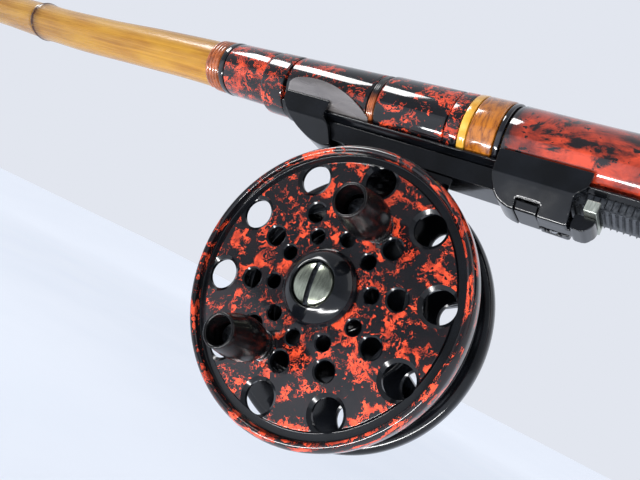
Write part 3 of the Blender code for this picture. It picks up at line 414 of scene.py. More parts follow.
def black_lacquer():
    """Rings and the butt cap: black lacquer with a wet shine."""
    wet = {"Coat_Weight": 0.6, "Coat_Roughness": 0.03}
    return clouded("black_lacquer", paints().black, linear("#17171C"), 6.0, (0.4, 0.7), (0.06, 0.14), **wet)


def black_enamel():
    """Stoved enamel on metal: hard black gloss that mirrors the room in its facets."""
    tones = (linear("#060709"), linear("#0D0F13"))
    return clouded("black_stoved_enamel", *tones, 8.0, (0.35, 0.7), (0.08, 0.18), Specular_IOR_Level=0.42)


def grey_lacquered_leaf():
    """The seat's thin leaf: dark metal under clear lacquer, which looks smoky and soft."""
    tones = (linear("#686464"), linear("#847F7D"))
    smoke = {"stretch": (4, 1, 1), "grain": (4.0, 0.6), "Metallic": 0.55, "Coat_Weight": 0.5}
    return clouded("smoky_lacquered_metal", *tones, 5.0, (0.35, 0.65), (0.22, 0.34), **smoke)


def knob_black():
    """Turned knobs: black gloss with a breath of red left in the ground."""
    tones = (linear("#060607"), linear("#1C0C0D"))
    breath = {"grain": (4.0, 0.65), "Specular_IOR_Level": 0.3}
    return clouded("turned_black_knob", *tones, 4.0, (0.52, 0.68), (0.16, 0.28), **breath)


def amber_wrap():
    """A strip of cane under clear lacquer behind the grip: amber with brown streaks across."""
    tones = (linear("#63300E"), paints().amber)
    streaks = {"stretch": (0.5, 1, 2.2), "grain": (5.0, 0.7, 0.5), "Coat_Weight": 0.8, "Coat_Roughness": 0.04}
    return clouded("amber_cane_wrap", *tones, 2.2, (0.36, 0.58), (0.12, 0.24), **streaks)


def yellow_band():
    """A narrow ring of yellow lacquer with a little cloud in it."""
    tones = (paints().yellow, linear("#D8A945"))
    clear = {"Coat_Weight": 0.8, "Coat_Roughness": 0.04}
    return clouded("yellow_lacquer", *tones, 3.0, (0.35, 0.7), (0.1, 0.2), **clear)


def hard_ring():
    """Guide rings: dense polished ceramic, nearly black."""
    tones = (linear("#16171A"), linear("#2A2B30"))
    return clouded("polished_ceramic", *tones, 0.5, (0.35, 0.7), (0.05, 0.1), Coat_Weight=0.3)


def band_thread():
    """The band behind the leaf: copper low down, and lost in dark lacquer over the top."""
    made, tree = new_finish("half_lost_copper_thread")
    coords = in_mm(tree)
    copper = clouds(tree, coords, 3.0, 0.36, 0.62, 4.0, 0.6)
    copper = layered(tree, linear("#5E2A14"), (copper, paints().thread))
    height = add_node(tree, "ShaderNodeSeparateXYZ", {0: coords}, "Z")
    low = add_node(tree, "ShaderNodeMapRange", {"Value": height, "From Min": 0.5, "From Max": -3.5})
    tone = layered(tree, paints().black, (low, copper))
    surface(tree, Base_Color=tone, Coat_Weight=0.7, Coat_Roughness=0.05, **polish(tree, coords, 0.14, 0.26))
    return made


def copper_thread():
    """Whipping thread soaked in lacquer: round glossy turns with an uneven, coppery depth."""
    made, tree = new_finish("lacquered_copper_thread")
    cloud = {"Vector": in_mm(tree), "Scale": 1 / 3.2, "Detail": 4.0, "Roughness": 0.65}
    cloud = add_node(tree, "ShaderNodeTexNoise", cloud)
    share = add_node(tree, "ShaderNodeMapRange", {"Value": cloud, "From Min": 0.36, "From Max": 0.62})
    tone = layered(tree, linear("#753A1B"), (share, paints().thread))
    fibre = {"Vector": in_mm(tree, stretch=(1, 4, 4)), "Scale": 1 / 0.3}
    shine = sheen(tree, cloud, (0.18, 0.34), add_node(tree, "ShaderNodeTexNoise", fibre), 0.03 * MM, 0.5)
    surface(tree, Base_Color=tone, Coat_Weight=0.8, Coat_Roughness=0.05, **shine)
    return made


def bamboo():
    """Heat-straightened cane under varnish: fine lengthwise streaks and brown scars at the nodes."""
    made, tree = new_finish("varnished_bamboo")
    paint = paints()
    streak = {"Vector": in_mm(tree, stretch=(60, 1, 1)), "Scale": 1 / 1.1, "Detail": 4.0, "Roughness": 0.6}
    streak = add_node(tree, "ShaderNodeTexNoise", streak)
    stripes = add_node(tree, "ShaderNodeMapRange", {"Value": streak, "From Min": 0.38, "From Max": 0.62})
    cloud = clouds(tree, in_mm(tree, stretch=(4, 1, 1)), 8.0, 0.40, 0.75)
    hair = clouds(tree, in_mm(tree, stretch=(90, 1, 1)), 0.42, 0.66, 0.74, 3.0, 0.7)
    hair = add_node(tree, "ShaderNodeMath", {0: hair, 1: 0.3}, operation="MULTIPLY")
    scar = add_node(tree, "ShaderNodeAttribute", None, "Fac", attribute_name="scar")
    scar = {0: scar, 1: clouds(tree, in_mm(tree), 1.2, 0.22, 0.42)}
    scar = add_node(tree, "ShaderNodeMath", scar, operation="MULTIPLY")
    layers = ((stripes, paint.bamboo), (cloud, linear("#C0902F")), (hair, linear("#5E3812")))
    tone = layered(tree, paint.bamboo_dark, *layers, (scar, paint.node_brown))
    varnish = {"Specular_IOR_Level": 0.35, "Coat_Weight": 0.15, "Coat_Roughness": 0.1}
    surface(tree, Base_Color=tone, **varnish, **sheen(tree, streak, (0.2, 0.34), streak, 0.05 * MM, 0.5))
    return made


def metal(name, light, dark, rough, stretch, size):
    """A bare metal with its tool marks, at a stretch that follows the cut."""
    made, tree = new_finish(name)
    mark = {"Vector": in_mm(tree, stretch), "Scale": 1 / size, "Detail": 4.0, "Roughness": 0.6}
    mark = add_node(tree, "ShaderNodeTexNoise", mark)
    share = add_node(tree, "ShaderNodeMapRange", {"Value": mark, "From Min": 0.3, "From Max": 0.7})
    tone = layered(tree, linear(dark), (share, linear(light)))
    shine = sheen(tree, mark, (rough * 0.7, rough * 1.3), mark, 0.004 * MM, 0.25)
    surface(tree, Base_Color=tone, Metallic=1.0, **shine)
    return made


def nickel_screw():
    """The tension screw: nickel rubbed along one way, with a greenish age to it."""
    return metal("aged_nickel", "#A9AD9C", "#83887A", 0.22, (1, 1, 7), 0.5)


def turned_steel():
    """Spindle, posts and screws: bright turned steel."""
    return metal("turned_steel", "#B9BABC", "#86888C", 0.25, (1, 6, 1), 0.3)


def pawl_steel():
    """The lock pawl: pale milled steel with a satin face."""
    return metal("satin_pawl_steel", "#C9CDC4", "#9FA59B", 0.42, (1, 1, 5), 0.4)


def rack_steel():
    """The rack's teeth, with their black finish rubbed grey."""
    return metal("rubbed_rack_steel", "#6F7276", "#34363A", 0.4, (1, 1, 1), 0.8)


def polished_chrome():
    """Bearings and the click button: polished chrome."""
    return metal("polished_chrome", "#DDE0E3", "#D0D3D7", 0.1, (1, 5, 1), 0.6)


def turned_brass():
    """Gear, pawl and ferrule plug: turned brass."""
    return metal("turned_brass", "#C9A65C", "#B08B45", 0.28, (0.25, 3, 3), 0.4)


def dark_wire():
    """Guide frames: wire with a dark polished plating."""
    return metal("dark_plated_wire", "#5A5C60", "#47494D", 0.2, (1, 1, 1), 0.8)


def pale_floor():
    """A matt pale floor with a faint unevenness. It glows a little more far off, to meet the sky."""
    made, tree = new_finish("pale_matt_floor")
    coords = in_mm(tree)
    tone = layered(tree, linear("#CDD2DA"), (clouds(tree, coords, 260.0, 0.2, 0.8), linear("#D2D6DD")))
    reach = add_node(tree, "ShaderNodeVectorMath", {0: coords}, "Value", operation="LENGTH")
    glow = {"Value": reach, "From Min": 500.0, "From Max": 3500.0, "To Min": 0.2, "To Max": 0.62}
    glow = add_node(tree, "ShaderNodeMapRange", glow)
    surface(tree, Base_Color=tone, Emission_Color=tone, Emission_Strength=glow, Roughness=0.9)
    return made


FINISHES = {}


def finish(maker):
    """The material that a function makes, made once."""
    if maker not in FINISHES:
        FINISHES[maker] = maker()
    return FINISHES[maker]


# ---------------------------------------------------------------- shapes


def add(name, mesh, maker):
    """Make a bmesh an object with one finish, its faces outward."""
    bmesh.ops.recalc_face_normals(mesh, faces=mesh.faces)
    data = bpy.data.meshes.new(name)
    mesh.to_mesh(data)
    mesh.free()
    data.materials.append(finish(maker))
    obj = bpy.data.objects.new(name, data)
    bpy.context.scene.collection.objects.link(obj)
    return obj


def fillet(points, radius, closed=True, steps=4):
    """Round an outline's corners. A point's third value is its own radius."""
    rounded = []
    last = len(points) - 1
    for index, point in enumerate(points):
        here = Vector(point[:2])
        if not closed and index in (0, last):
            rounded.append(tuple(here))
            continue
        back = Vector(points[index - 1][:2]) - here
        on = Vector(points[(index + 1) % len(points)][:2]) - here
        reach = point[2] if len(point) > 2 else radius
        reach = min(reach, back.length * 0.48, on.length * 0.48)
        if reach <= 0:
            rounded.append(tuple(here))
            continue
        start, end = here + back.normalized() * reach, here + on.normalized() * reach
        for step in range(steps + 1):
            share = step / steps
            first, second = start.lerp(here, share), here.lerp(end, share)
            rounded.append(tuple(first.lerp(second, share)))
    return rounded


def flowing(points, steps=6):
    """A smooth line through points (Catmull-Rom), with its ends kept."""
    spots = [Vector(point) for point in points]
    spots = [2 * spots[0] - spots[1]] + spots + [2 * spots[-1] - spots[-2]]
    line = []
    for before, start, end, after in zip(spots, spots[1:], spots[2:], spots[3:]):
        for step in range(steps):
            t = step / steps
            place = 2 * start + (end - before) * t
            place += (2 * before - 5 * start + 4 * end - after) * t**2
            place += (3 * start - before - 3 * end + after) * t**3
            line.append(tuple(place / 2))
    return line + [tuple(spots[-2])]


def bridge(mesh, rings):
    """Join rings of corners in turn with faces. A ring of one corner closes an end."""
    for first, second in zip(rings, rings[1:]):
        sides = max(len(first), len(second))
        for step in range(sides if sides > 1 else 0):
            after = (step + 1) % sides
            if len(first) == 1:
                mesh.faces.new((first[0], second[after], second[step]))
            elif len(second) == 1:
                mesh.faces.new((first[step], first[after], second[0]))
            else:
                mesh.faces.new((first[step], first[after], second[after], second[step]))


def turned(name, profile, maker, axis="X", centre=(0, 0, 0), sides=GRIP_SIDES, closed=True):
    """Turn (place along the axis, radius) points about the X or Y axis through a centre."""
    mesh = bmesh.new()
    rings = []
    for along, radius in profile:
        ring = []
        for step in range(sides if radius > 1e-7 else 1):
            turn = 2 * math.pi * step / sides
            across, up = radius * math.cos(turn), radius * math.sin(turn)
            place = (along, across, up) if axis == "X" else (across, along, up)
            ring.append(mesh.verts.new(Vector(place) + Vector(centre)))
        rings.append(ring)
    bridge(mesh, rings + rings[:1] if closed else rings)
    return add(name, mesh, maker)


def prism(name, outline, axis, low, high, maker=black_enamel):
    """Extrude an outline, given in the other two coordinates, along X, Y or Z."""
    mesh = bmesh.new()
    ends = []
    for along in (low, high):
        ring = []
        for point in outline:
            place = list(point[:2])
            place.insert("XYZ".index(axis), along)
            ring.append(mesh.verts.new(place))
        ends.append(ring)
        mesh.faces.new(ring)
    bridge(mesh, ends)
    return add(name, mesh, maker)


def block(name, low, high, maker=black_enamel):
    """A box between two corners, for cutting."""
    outline = ((low[0], low[2]), (high[0], low[2]), (high[0], high[2]), (low[0], high[2]))
    return prism(name, outline, "Y", low[1], high[1], maker)


def sheet_outline(inner, outer, half_angle, steps=24):
    """The Y, Z outline of a curved sheet that hugs the rod from below."""
    points = []
    for radius, order in ((inner, range(steps + 1)), (outer, range(steps, -1, -1))):
        for step in order:
            angle = math.radians(-90 - half_angle + 2 * half_angle * step / steps)
            points.append((radius * math.cos(angle), radius * math.sin(angle)))
    return points


def wire(name, points, radius, maker):
    """A round wire through points."""
    curve = bpy.data.curves.new(name, "CURVE")
    curve.dimensions = "3D"
    curve.bevel_depth = radius
    curve.bevel_resolution = 4
    curve.use_fill_caps = True
    line = curve.splines.new("POLY")
    line.points.add(len(points) - 1)
    for spot, place in zip(line.points, points):
        spot.co = (*place, 1.0)
    obj = bpy.data.objects.new(name, curve)
    bpy.context.scene.collection.objects.link(obj)
    curve.materials.append(finish(maker))
    bpy.context.view_layer.update()
    graph = bpy.context.evaluated_depsgraph_get()
    data = bpy.data.meshes.new_from_object(obj.evaluated_get(graph), depsgraph=graph)
    bpy.data.objects.remove(obj)
    made = bpy.data.objects.new(name, data)
    bpy.context.scene.collection.objects.link(made)
    return made


def plain(obj):
    """Turn an object's modifiers into plain mesh."""
    bpy.context.view_layer.update()
    graph = bpy.context.evaluated_depsgraph_get()
    data = bpy.data.meshes.new_from_object(obj.evaluated_get(graph), depsgraph=graph)
    obj.modifiers.clear()
    obj.data = data
    return obj


def combined(obj, tool, operation="DIFFERENCE"):
    """Cut one object from another, join it on, or keep what both hold. The tool is used up."""
    step = obj.modifiers.new("combine", "BOOLEAN")
    step.operation = operation
    step.solver = "EXACT"
    step.material_mode = "TRANSFER"
    step.object = tool
    plain(obj)
    bpy.data.objects.remove(tool)
    return obj


def bored(obj, low, high, radius, axis="X", centre=(0, 0, 0), sides=GRIP_SIDES, maker=black_enamel):
    """Cut a round way along an axis through a centre, between two places."""
    way = ((low, 0), (low, radius), (high, radius), (high, 0))
    return combined(obj, turned("way", way, maker, axis, centre, sides, closed=False))


def carved(obj, low, high, maker=black_enamel):
    """Cut a box between two corners out of an object."""
    return combined(obj, block("way", low, high, maker))


def softened(obj, maker, voxel=None, rounds=4):
    """Round an object's edges as paint on a casting does: a voxel skin, smoothed."""
    skin = obj.modifiers.new("skin", "REMESH")
    skin.mode = "VOXEL"
    skin.voxel_size = voxel or bpy.context.scene.raft_rod_sizes.cast_voxel
    ease = obj.modifiers.new("ease", "SMOOTH")
    ease.factor = 0.5
    ease.iterations = rounds
    plain(obj)
    obj.data.materials.clear()
    obj.data.materials.append(finish(maker))
    return obj


def seated(obj, body, slot, *nodes, sharp=35):
    """Shade a finished piece and hang it on its body in place of its frame nodes."""
    obj.data.shade_smooth()
    if sharp:
        obj.data.set_sharp_from_angle(angle=math.radians(sharp))
    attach(obj, body)
    if nodes:
        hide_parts(*nodes)
    return obj


def repaint(maker, *nodes):
    """Give frame nodes that stay a finished material."""
    for name in nodes:
        data = frame["nodes"][name].data
        data.materials.clear()
        data.materials.append(finish(maker))
        data.shade_smooth()
        data.set_sharp_from_angle(angle=math.radians(35))


def grown(name, tree, values, base=None):
    """Run a Geometry Nodes tree on a mesh, and keep the result as plain mesh."""
    obj = bpy.data.objects.new(name, base or bpy.data.meshes.new(name))
    bpy.context.scene.collection.objects.link(obj)
    step = obj.modifiers.new("grow", "NODES")
    step.node_group = tree
    for item in tree.interface.items_tree:
        if item.in_out == "INPUT" and item.name in values:
            step[item.identifier] = values[item.name]
    return plain(obj)


def geometry_tree(name, kinds):
    """A Geometry Nodes tree with named inputs of some kinds, and those inputs' sockets."""
    tree = bpy.data.node_groups.new(name, "GeometryNodeTree")
    for title, kind in {"Geometry": "Geometry", **kinds}.items():
        tree.interface.new_socket(title, in_out="INPUT", socket_type="NodeSocket" + kind)
    tree.interface.new_socket("Geometry", in_out="OUTPUT", socket_type="NodeSocketGeometry")
    return tree, add_node(tree, "NodeGroupInput").node.outputs


def close_tree(tree, geometry, material):
    """End a tree in Realize Instances and Set Material."""
    real = add_node(tree, "GeometryNodeRealizeInstances", {0: geometry})
    dressed = add_node(tree, "GeometryNodeSetMaterial", {"Geometry": real, "Material": material})
    add_node(tree, "NodeGroupOutput", {0: dressed})


def winding_tree():
    """Close turns of thread along the rod: a spiral from front to rear, swept by a round section."""
    if "thread_winding" in bpy.data.node_groups:
        return bpy.data.node_groups["thread_winding"]
    sizes = ("Front", "Rear", "Front radius", "Rear radius", "Drop", "Pitch")
    tree, given = geometry_tree("thread_winding", {**dict.fromkeys(sizes, "Float"), "Finish": "Material"})
    length = {0: given["Rear"], 1: given["Front"]}
    length = add_node(tree, "ShaderNodeMath", length, operation="SUBTRACT")
    turns = add_node(tree, "ShaderNodeMath", {0: length, 1: given["Pitch"]}, operation="DIVIDE")
    spiral = {"Resolution": 40, "Rotations": turns, "Height": length}
    spiral |= {"Start Radius": given["Front radius"], "End Radius": given["Rear radius"]}
    spiral = add_node(tree, "GeometryNodeCurveSpiral", spiral)
    down = add_node(tree, "ShaderNodeMath", {0: given["Drop"], 1: -1.0}, operation="MULTIPLY")
    place = add_node(tree, "ShaderNodeCombineXYZ", {"X": given["Front"], "Z": down})
    laid = {"Geometry": spiral, "Translation": place, "Rotation": (0.0, math.pi / 2, 0.0)}
    laid = add_node(tree, "GeometryNodeTransform", laid)
    half = add_node(tree, "ShaderNodeMath", {0: given["Pitch"], 1: TURN_FILL}, operation="MULTIPLY")
    section = add_node(tree, "GeometryNodeCurvePrimitiveCircle", {"Resolution": 6, "Radius": half})
    swept = {"Curve": laid, "Profile Curve": section, "Fill Caps": True}
    joined = {0: add_node(tree, "GeometryNodeCurveToMesh", swept)}
    joined = add_node(tree, "GeometryNodeJoinGeometry", joined)
    tree.links.new(given["Geometry"], joined.node.inputs[0])
    close_tree(tree, joined, given["Finish"])
    return tree


def winding(name, front, rear, radii, maker, drop=0.0, pitch=None, bore=CORE_R + GAP):
    """A thread wrap: its turns, over a sleeve that fills the ground beneath them."""
    pitch = pitch or bpy.context.scene.raft_rod_sizes.thread_pitch
    half = pitch * TURN_FILL
    inner = [radius - half for radius in radii]
    inset = half * 1.05  # keeps the first and last turns just inside the ends
    ends = (front + inset, rear - inset)
    ground = ((ends[0], bore), (ends[0], inner[0]), (ends[1], inner[1]), (ends[1], bore))
    ground = turned(name + "_ground", ground, maker, "X", (0, 0, -drop))
    data = ground.data
    bpy.data.objects.remove(ground)
    values = {"Front": ends[0], "Rear": ends[1], "Drop": drop, "Pitch": pitch, "Finish": finish(maker)}
    values |= {"Front radius": inner[0], "Rear radius": inner[1]}
    return grown(name, winding_tree(), values, data)


def drill_tree():
    """Copies of a drill in a ring about Y."""
    if "drill_ring" in bpy.data.node_groups:
        return bpy.data.node_groups["drill_ring"]
    kinds = {"Count": "Int", "Pitch radius": "Float", "Phase": "Float", "Finish": "Material"}
    tree, given = geometry_tree("drill_ring", kinds)
    circle = {"Vertices": given["Count"], "Radius": given["Pitch radius"]}
    circle = add_node(tree, "GeometryNodeMeshCircle", circle)
    stand = {"Geometry": circle, "Rotation": (math.pi / 2, 0.0, 0.0)}
    stand = add_node(tree, "GeometryNodeTransform", stand)
    set_out = {"Points": stand, "Instance": given["Geometry"]}
    set_out = add_node(tree, "GeometryNodeInstanceOnPoints", set_out)
    phase = add_node(tree, "ShaderNodeMath", {0: given["Phase"], 1: -1.0}, operation="MULTIPLY")
    phase = add_node(tree, "ShaderNodeCombineXYZ", {"Y": phase})
    set_out = add_node(tree, "GeometryNodeTransform", {"Geometry": set_out, "Rotation": phase})
    close_tree(tree, set_out, given["Finish"])
    return tree


def ring_of_drills(name, pitch_r, radius, flare, depth, maker):
    """Countersunk drills in a ring, for cutting a pierced plate from front to rear."""
    low, high = depth
    over, chamfer = 0.7 * MM, 0.3 * MM
    profile = (
        (low - over, 0),
        (low - over, radius + flare + over / COUNTERSINK),
        (low + flare * COUNTERSINK, radius),
        (high - chamfer, radius),
        (high + over, radius + chamfer + over),
        (high + over, 0),
    )
    drill = turned(name + "_drill", profile, maker, "Y", sides=36, closed=False)
    data = drill.data
    bpy.data.objects.remove(drill)
    values = {"Count": HOLES, "Pitch radius": pitch_r, "Phase": HOLE_PHASE, "Finish": finish(maker)}
    made = grown(name, drill_tree(), values, data)
    made.data.transform(Matrix.Translation((0, 0, SPOOL.z)))
    return made


# ---------------------------------------------------------------- rod


def sway(x):
    """How far the cane bows below the rod's axis at a place along it."""
    start, end = SWAY_SPAN
    if not start < x < end:
        return 0.0
    return -SWAY * math.sin(math.pi * (x - start) / (end - start)) ** 2


def cane(name, front, rear, radius_at, nodes, maker, sides=72, tail=()):
    """A length of bamboo: tapered, ridged at its nodes, with a mark where each sheath scar lies."""
    step = 1.2 * MM
    places = [front + step * index for index in range(int((rear - front) / step) + 1)] + [rear]
    for node in nodes:
        places += [node + 0.25 * MM * index for index in range(-22, 23)]
    places = sorted(place for place in set(places) if front <= place <= rear)
    mesh = bmesh.new()
    scar = mesh.verts.layers.float.new("scar")
    rings = [[mesh.verts.new((front, 0, 0))]]
    for x in places:
        radius = radius_at(x)
        mark = 0.0
        for node in nodes:
            off = (x - node) / MM
            share = radius_at(node) / BLANK_R
            swell = 0.55 if off > 0 else 0.35
            # A slow swell, a sharp ridge at the node, and a groove on its side towards the tip
            rise = swell * math.exp(-((off / (6.0 if off > 0 else 3.5)) ** 2))
            rise += 0.45 * math.exp(-((off + 0.2) ** 2) / 0.8)
            rise -= 0.35 * math.exp(-((off + 1.9) ** 2) / 0.5)
            radius += NODE_RISE * share * rise
            mark = max(mark, math.exp(-(((off + 0.2) / 2.2) ** 4)), 0.6 * math.exp(-(((off - 1) / 3.6) ** 2)))
        ring = []
        for index in range(sides):
            turn = 2 * math.pi * index / sides
            place = (x, radius * math.cos(turn), radius * math.sin(turn) + sway(x))
            spot = mesh.verts.new(place)
            spot[scar] = mark
            ring.append(spot)
        rings.append(ring)
    for x, radius in tail:
        turns = [2 * math.pi * index / sides for index in range(sides)]
        rings.append([mesh.verts.new((x, radius * math.cos(t), radius * math.sin(t))) for t in turns])
    rings.append([mesh.verts.new((tail[-1][0] if tail else rear, 0, 0))])
    bridge(mesh, rings)
    return add(name, mesh, maker)


def blank_radius(x):
    """The butt blank's radius, with the slow unevenness of a grown stem."""
    share = (GRIP_FRONT - x) / (GRIP_FRONT - BUTT_FRONT)
    wave = 0.06 * MM * math.sin(x / (17 * MM)) + 0.04 * MM * math.sin(x / (7.3 * MM))
    return BLANK_R + (BLANK_FRONT_R - BLANK_R) * max(share, 0) + wave * (x < GRIP_FRONT - 4 * MM)


def tip_radius(x):
    """The tip blank's radius."""
    return (1.2 + 3.8 * (x - TIP_FRONT) / (TIP_REAR - TIP_FRONT)) * MM


class RAFTROD_OT_blanks(bpy.types.Operator):
    """Build the bamboo butt blank and tip, with their ferrule"""

    bl_idname = "raft_rod.blanks"
    bl_label = "Bamboo blanks"

    def execute(self, context):
        core = ((GRIP_FRONT, CORE_R), (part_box("butt_blank")[1].x, CORE_R))
        made = cane("bamboo_butt", BUTT_FRONT, GRIP_FRONT, blank_radius, BUTT_NODES, bamboo, tail=core)
        seated(made, "rod", "bamboo", "butt_blank")
        made = cane("bamboo_tip", TIP_FRONT, TIP_REAR, tip_radius, TIP_NODES, bamboo, sides=40)
        seated(made, "tip_section", "bamboo", "tip_blank")
        self.ferrule()
        return {"FINISHED"}

    def ferrule(self):
        """The lacquered socket, and the brass plug and cup on the tip."""
        low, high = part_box("ferrule_socket")
        joint = BUTT_FRONT
        bore = PLUG_R + GAP
        seat = BLANK_FRONT_R + 2 * GAP
        neck, body = bore + 1.3 * MM, high.y
        profile = fillet(
            (
                (low.x, bore, 0.2 * MM),
                (low.x, neck, 0.4 * MM),
                (joint - 9 * MM, neck + 0.3 * MM, 3 * MM),
                (joint - 1 * MM, body, 3 * MM),
                (high.x - 2 * MM, body, 0.8 * MM),
                (high.x, seat + 0.2 * MM, 0.1 * MM),
                (high.x, seat, 0),
                (joint - GAP, seat, 0),
                (joint - GAP, bore, 0),
            ),
            EASE,
        )
        made = turned("ferrule_sleeve", profile, black_lacquer)
        seated(made, "rod", "black_lacquer", "ferrule_socket")
        low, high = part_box("ferrule_plug")
        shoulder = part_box("ferrule_socket")[0].x - GAP
        inner = 5.3 * MM
        profile = fillet(
            (
                (high.x, 0, 0),
                (high.x, PLUG_R - 0.2 * MM, 0.5 * MM),
                (shoulder, PLUG_R, 0),
                (shoulder, high.y, 0.4 * MM),
                (shoulder - 3 * MM, high.y, 0.3 * MM),
                (shoulder - 3.6 * MM, high.y - 0.3 * MM, 0.3 * MM),
                (low.x, high.y - 0.3 * MM, 0.2 * MM),
                (low.x, inner, 0.1 * MM),
                (shoulder - 2 * MM, inner, 0),
                (shoulder - 2 * MM, 0, 0),
            ),
            EASE,
            closed=False,
        )
        plug = turned("ferrule_plug_turned", profile, turned_brass, closed=False)
        seated(plug, "tip_section", "brass", "ferrule_plug")


# Rear and front radius of the sleeves that taper
SLEEVE_RADII = {
    "grip_section_1": (9.6 * MM, 9.5 * MM),
    "grip_section_3": (10.1 * MM, 9.8 * MM),
    "grip_section_4": (10.6 * MM, 10.5 * MM),
}


def sleeve(name, node, maker, edge):
    """A turned grip piece with rounded ends, where its frame node lies."""
    low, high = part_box(node)
    bore = CORE_R + GAP
    rear_r, front_r = SLEEVE_RADII.get(node, (high.y, high.y))
    outline = ((low.x, bore, 0), (low.x, front_r, edge), (high.x, rear_r, edge), (high.x, bore, 0))
    return turned(name, fillet(outline, edge), maker)


class RAFTROD_OT_grip(bpy.types.Operator):
    """Build the lacquered grip: its sleeves, rings, binding and butt cap"""

    bl_idname = "raft_rod.grip"
    bl_label = "Lacquered grip"

    def execute(self, context):
        pieces = (
            ("front_ring", "black_lacquer", black_lacquer, 0.5 * MM),
            ("grip_section_1", "marbled_lacquer", mottled_grip, 0.8 * MM),
            ("grip_section_3", "marbled_lacquer", dark_grip, 0.8 * MM),
            ("grip_section_4", "marbled_lacquer", dense_grip, 1.0 * MM),
            ("middle_ring", "black_lacquer", dense_grip, 0.6 * MM),
            ("yellow_band", "yellow_lacquer", yellow_band, 0.4 * MM),
            ("rear_ring", "black_lacquer", black_lacquer, 0.5 * MM),
        )
        for node, slot, maker, edge in pieces:
            made = sleeve(node + "_turned", node, maker, edge)
            if node == "grip_section_3":
                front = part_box(node)[0].x
                notch = sheet_outline(CORE_R - MM, 11 * MM, TONGUE_ANGLE + 2)
                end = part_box("seat_plate")[0].x + TONGUE_LENGTH + JOGGLE + GAP
                combined(made, prism("notch", notch, "X", front - MM, end))
            seated(made, "rod", slot, node)
        self.binding()
        self.rear_grip()
        return {"FINISHED"}

    def binding(self):
        """The raised, lacquered wrap over the seat's front tongue."""
        low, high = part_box("seat_binding")
        drop = (low.z + high.z) / 2
        outline = fillet(
            (
                (low.x, 0, 0),
                (low.x, high.y, 1.2 * MM),
                (high.x, high.y, 0.7 * MM),
                (high.x, 0, 0),
            ),
            EASE,
            closed=False,
            steps=6,
        )
        made = turned("seat_binding_turned", outline, dark_grip, "X", (0, 0, drop), closed=False)
        bored(made, low.x - MM, high.x + MM, CORE_R + GAP, maker=black_lacquer)
        slot = sheet_outline(CORE_R - MM, TONGUE_R + TONGUE_THICK + GAP, TONGUE_ANGLE + 3)
        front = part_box("seat_plate")[0].x - GAP
        combined(made, prism("slot", slot, "X", front, high.x + MM, black_lacquer))
        seated(made, "rod", "marbled_lacquer", "seat_binding")

    def rear_grip(self):
        """The long red grip, waisted behind the seat and swelling to the butt cap."""
        low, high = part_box("rear_grip")
        bore = CORE_R + GAP
        line = (
            (low.x + 1 * MM, 10.5 * MM),
            (60 * MM, 10.1 * MM),
            (110 * MM, 10.15 * MM),
            (150 * MM, 10.5 * MM),
            (190 * MM, 11.5 * MM),
            (high.x - 10 * MM, high.y),
            (high.x - 1 * MM, high.y - 0.1 * MM),
        )
        outline = [(low.x, bore), (low.x, 10.1 * MM), *flowing(line), (high.x, 11.2 * MM), (high.x, bore)]
        made = turned("rear_grip_turned", outline, red_grip)
        seated(made, "rod", "red_lacquer", "rear_grip")
        low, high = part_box("butt_cap")
        wall = fillet(
            (
                (high.x - 7 * MM + GAP, 0, 0),
                (high.x - 7 * MM + GAP, bore, 0),
                (low.x, bore, 0),
                (low.x, high.y, 0.5 * MM),
                (low.x + 2.2 * MM, high.y, 0.4 * MM),
                (low.x + 2.8 * MM, high.y - 0.35 * MM, 0.3 * MM),
                (high.x - 2.2 * MM, high.y - 0.35 * MM, 1.6 * MM),
                (high.x, high.y - 2.6 * MM, 0.6 * MM),
                (high.x, 0, 0),
            ),
            EASE,
            closed=False,
        )
        made = turned("butt_cap_turned", wall, black_lacquer, closed=False)
        seated(made, "rod", "black_lacquer", "butt_cap")


class RAFTROD_OT_windings(bpy.types.Operator):
    """Wind the thread bands on the grip, the ferrule and the guides' feet"""

    bl_idname = "raft_rod.windings"
    bl_label = "Thread windings"

    def execute(self, context):
        low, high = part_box("front_wrap")
        made = winding("front_wrap_wound", low.x, high.x, (9.3 * MM, 9.4 * MM), copper_thread, pitch=1.5 * MM)
        seated(made, "rod", "copper_thread", "front_wrap", sharp=0)
        low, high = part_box("copper_band")
        made = winding("copper_band_wound", low.x, high.x, (10.2 * MM,) * 2, band_thread)
        seated(made, "rod", "copper_thread", "copper_band", sharp=0)
        made = sleeve("rear_wrap_turned", "rear_wrap", amber_wrap, 0.6 * MM)
        seated(made, "rod", "copper_thread", "rear_wrap")
        self.on_ferrule()
        self.on_guides()
        return {"FINISHED"}

    def on_ferrule(self):
        """Copper thread over the socket's rear end, where it meets the cane."""
        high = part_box("ferrule_socket")[1]
        bore = high.y + 0.05 * MM
        ends = (high.x - 12 * MM, high.x - 3 * MM)
        made = winding("ferrule_thread_rear", *ends, (bore + 0.5 * MM,) * 2, copper_thread, bore=bore)
        seated(made, "rod", "copper_thread", sharp=0)

    def on_guides(self):
        """Thread over each guide's foot, round the cane and the foot together."""
        for number in GUIDES:
            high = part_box(f"guide_frame_{number}")[1]
            radius_at = blank_radius if number == 1 else tip_radius
            front, rear = high.x - 17 * MM, high.x + 2 * MM
            radii = [radius_at(x) + 0.95 * MM for x in (front, rear)]
            bore = radius_at(front) - 0.8 * MM
            made = winding(f"guide_thread_{number}", front, rear, radii, copper_thread, 0.75 * MM, bore=bore)
            seated(made, carrier(number), "copper_thread", sharp=0)


def guide_ring(name, node):
    """A guide's hard ring about X, where its frame node lies."""
    low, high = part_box(node)
    outer = (high.y - low.y) / 2
    inner = outer - 0.9 * MM
    section = fillet(((low.x, inner), (low.x, outer), (high.x, outer), (high.x, inner)), 0.42 * MM, steps=5)
    return turned(name, section, hard_ring, "X", (0, 0, (low.z + high.z) / 2), sides=HOOP_SIDES)


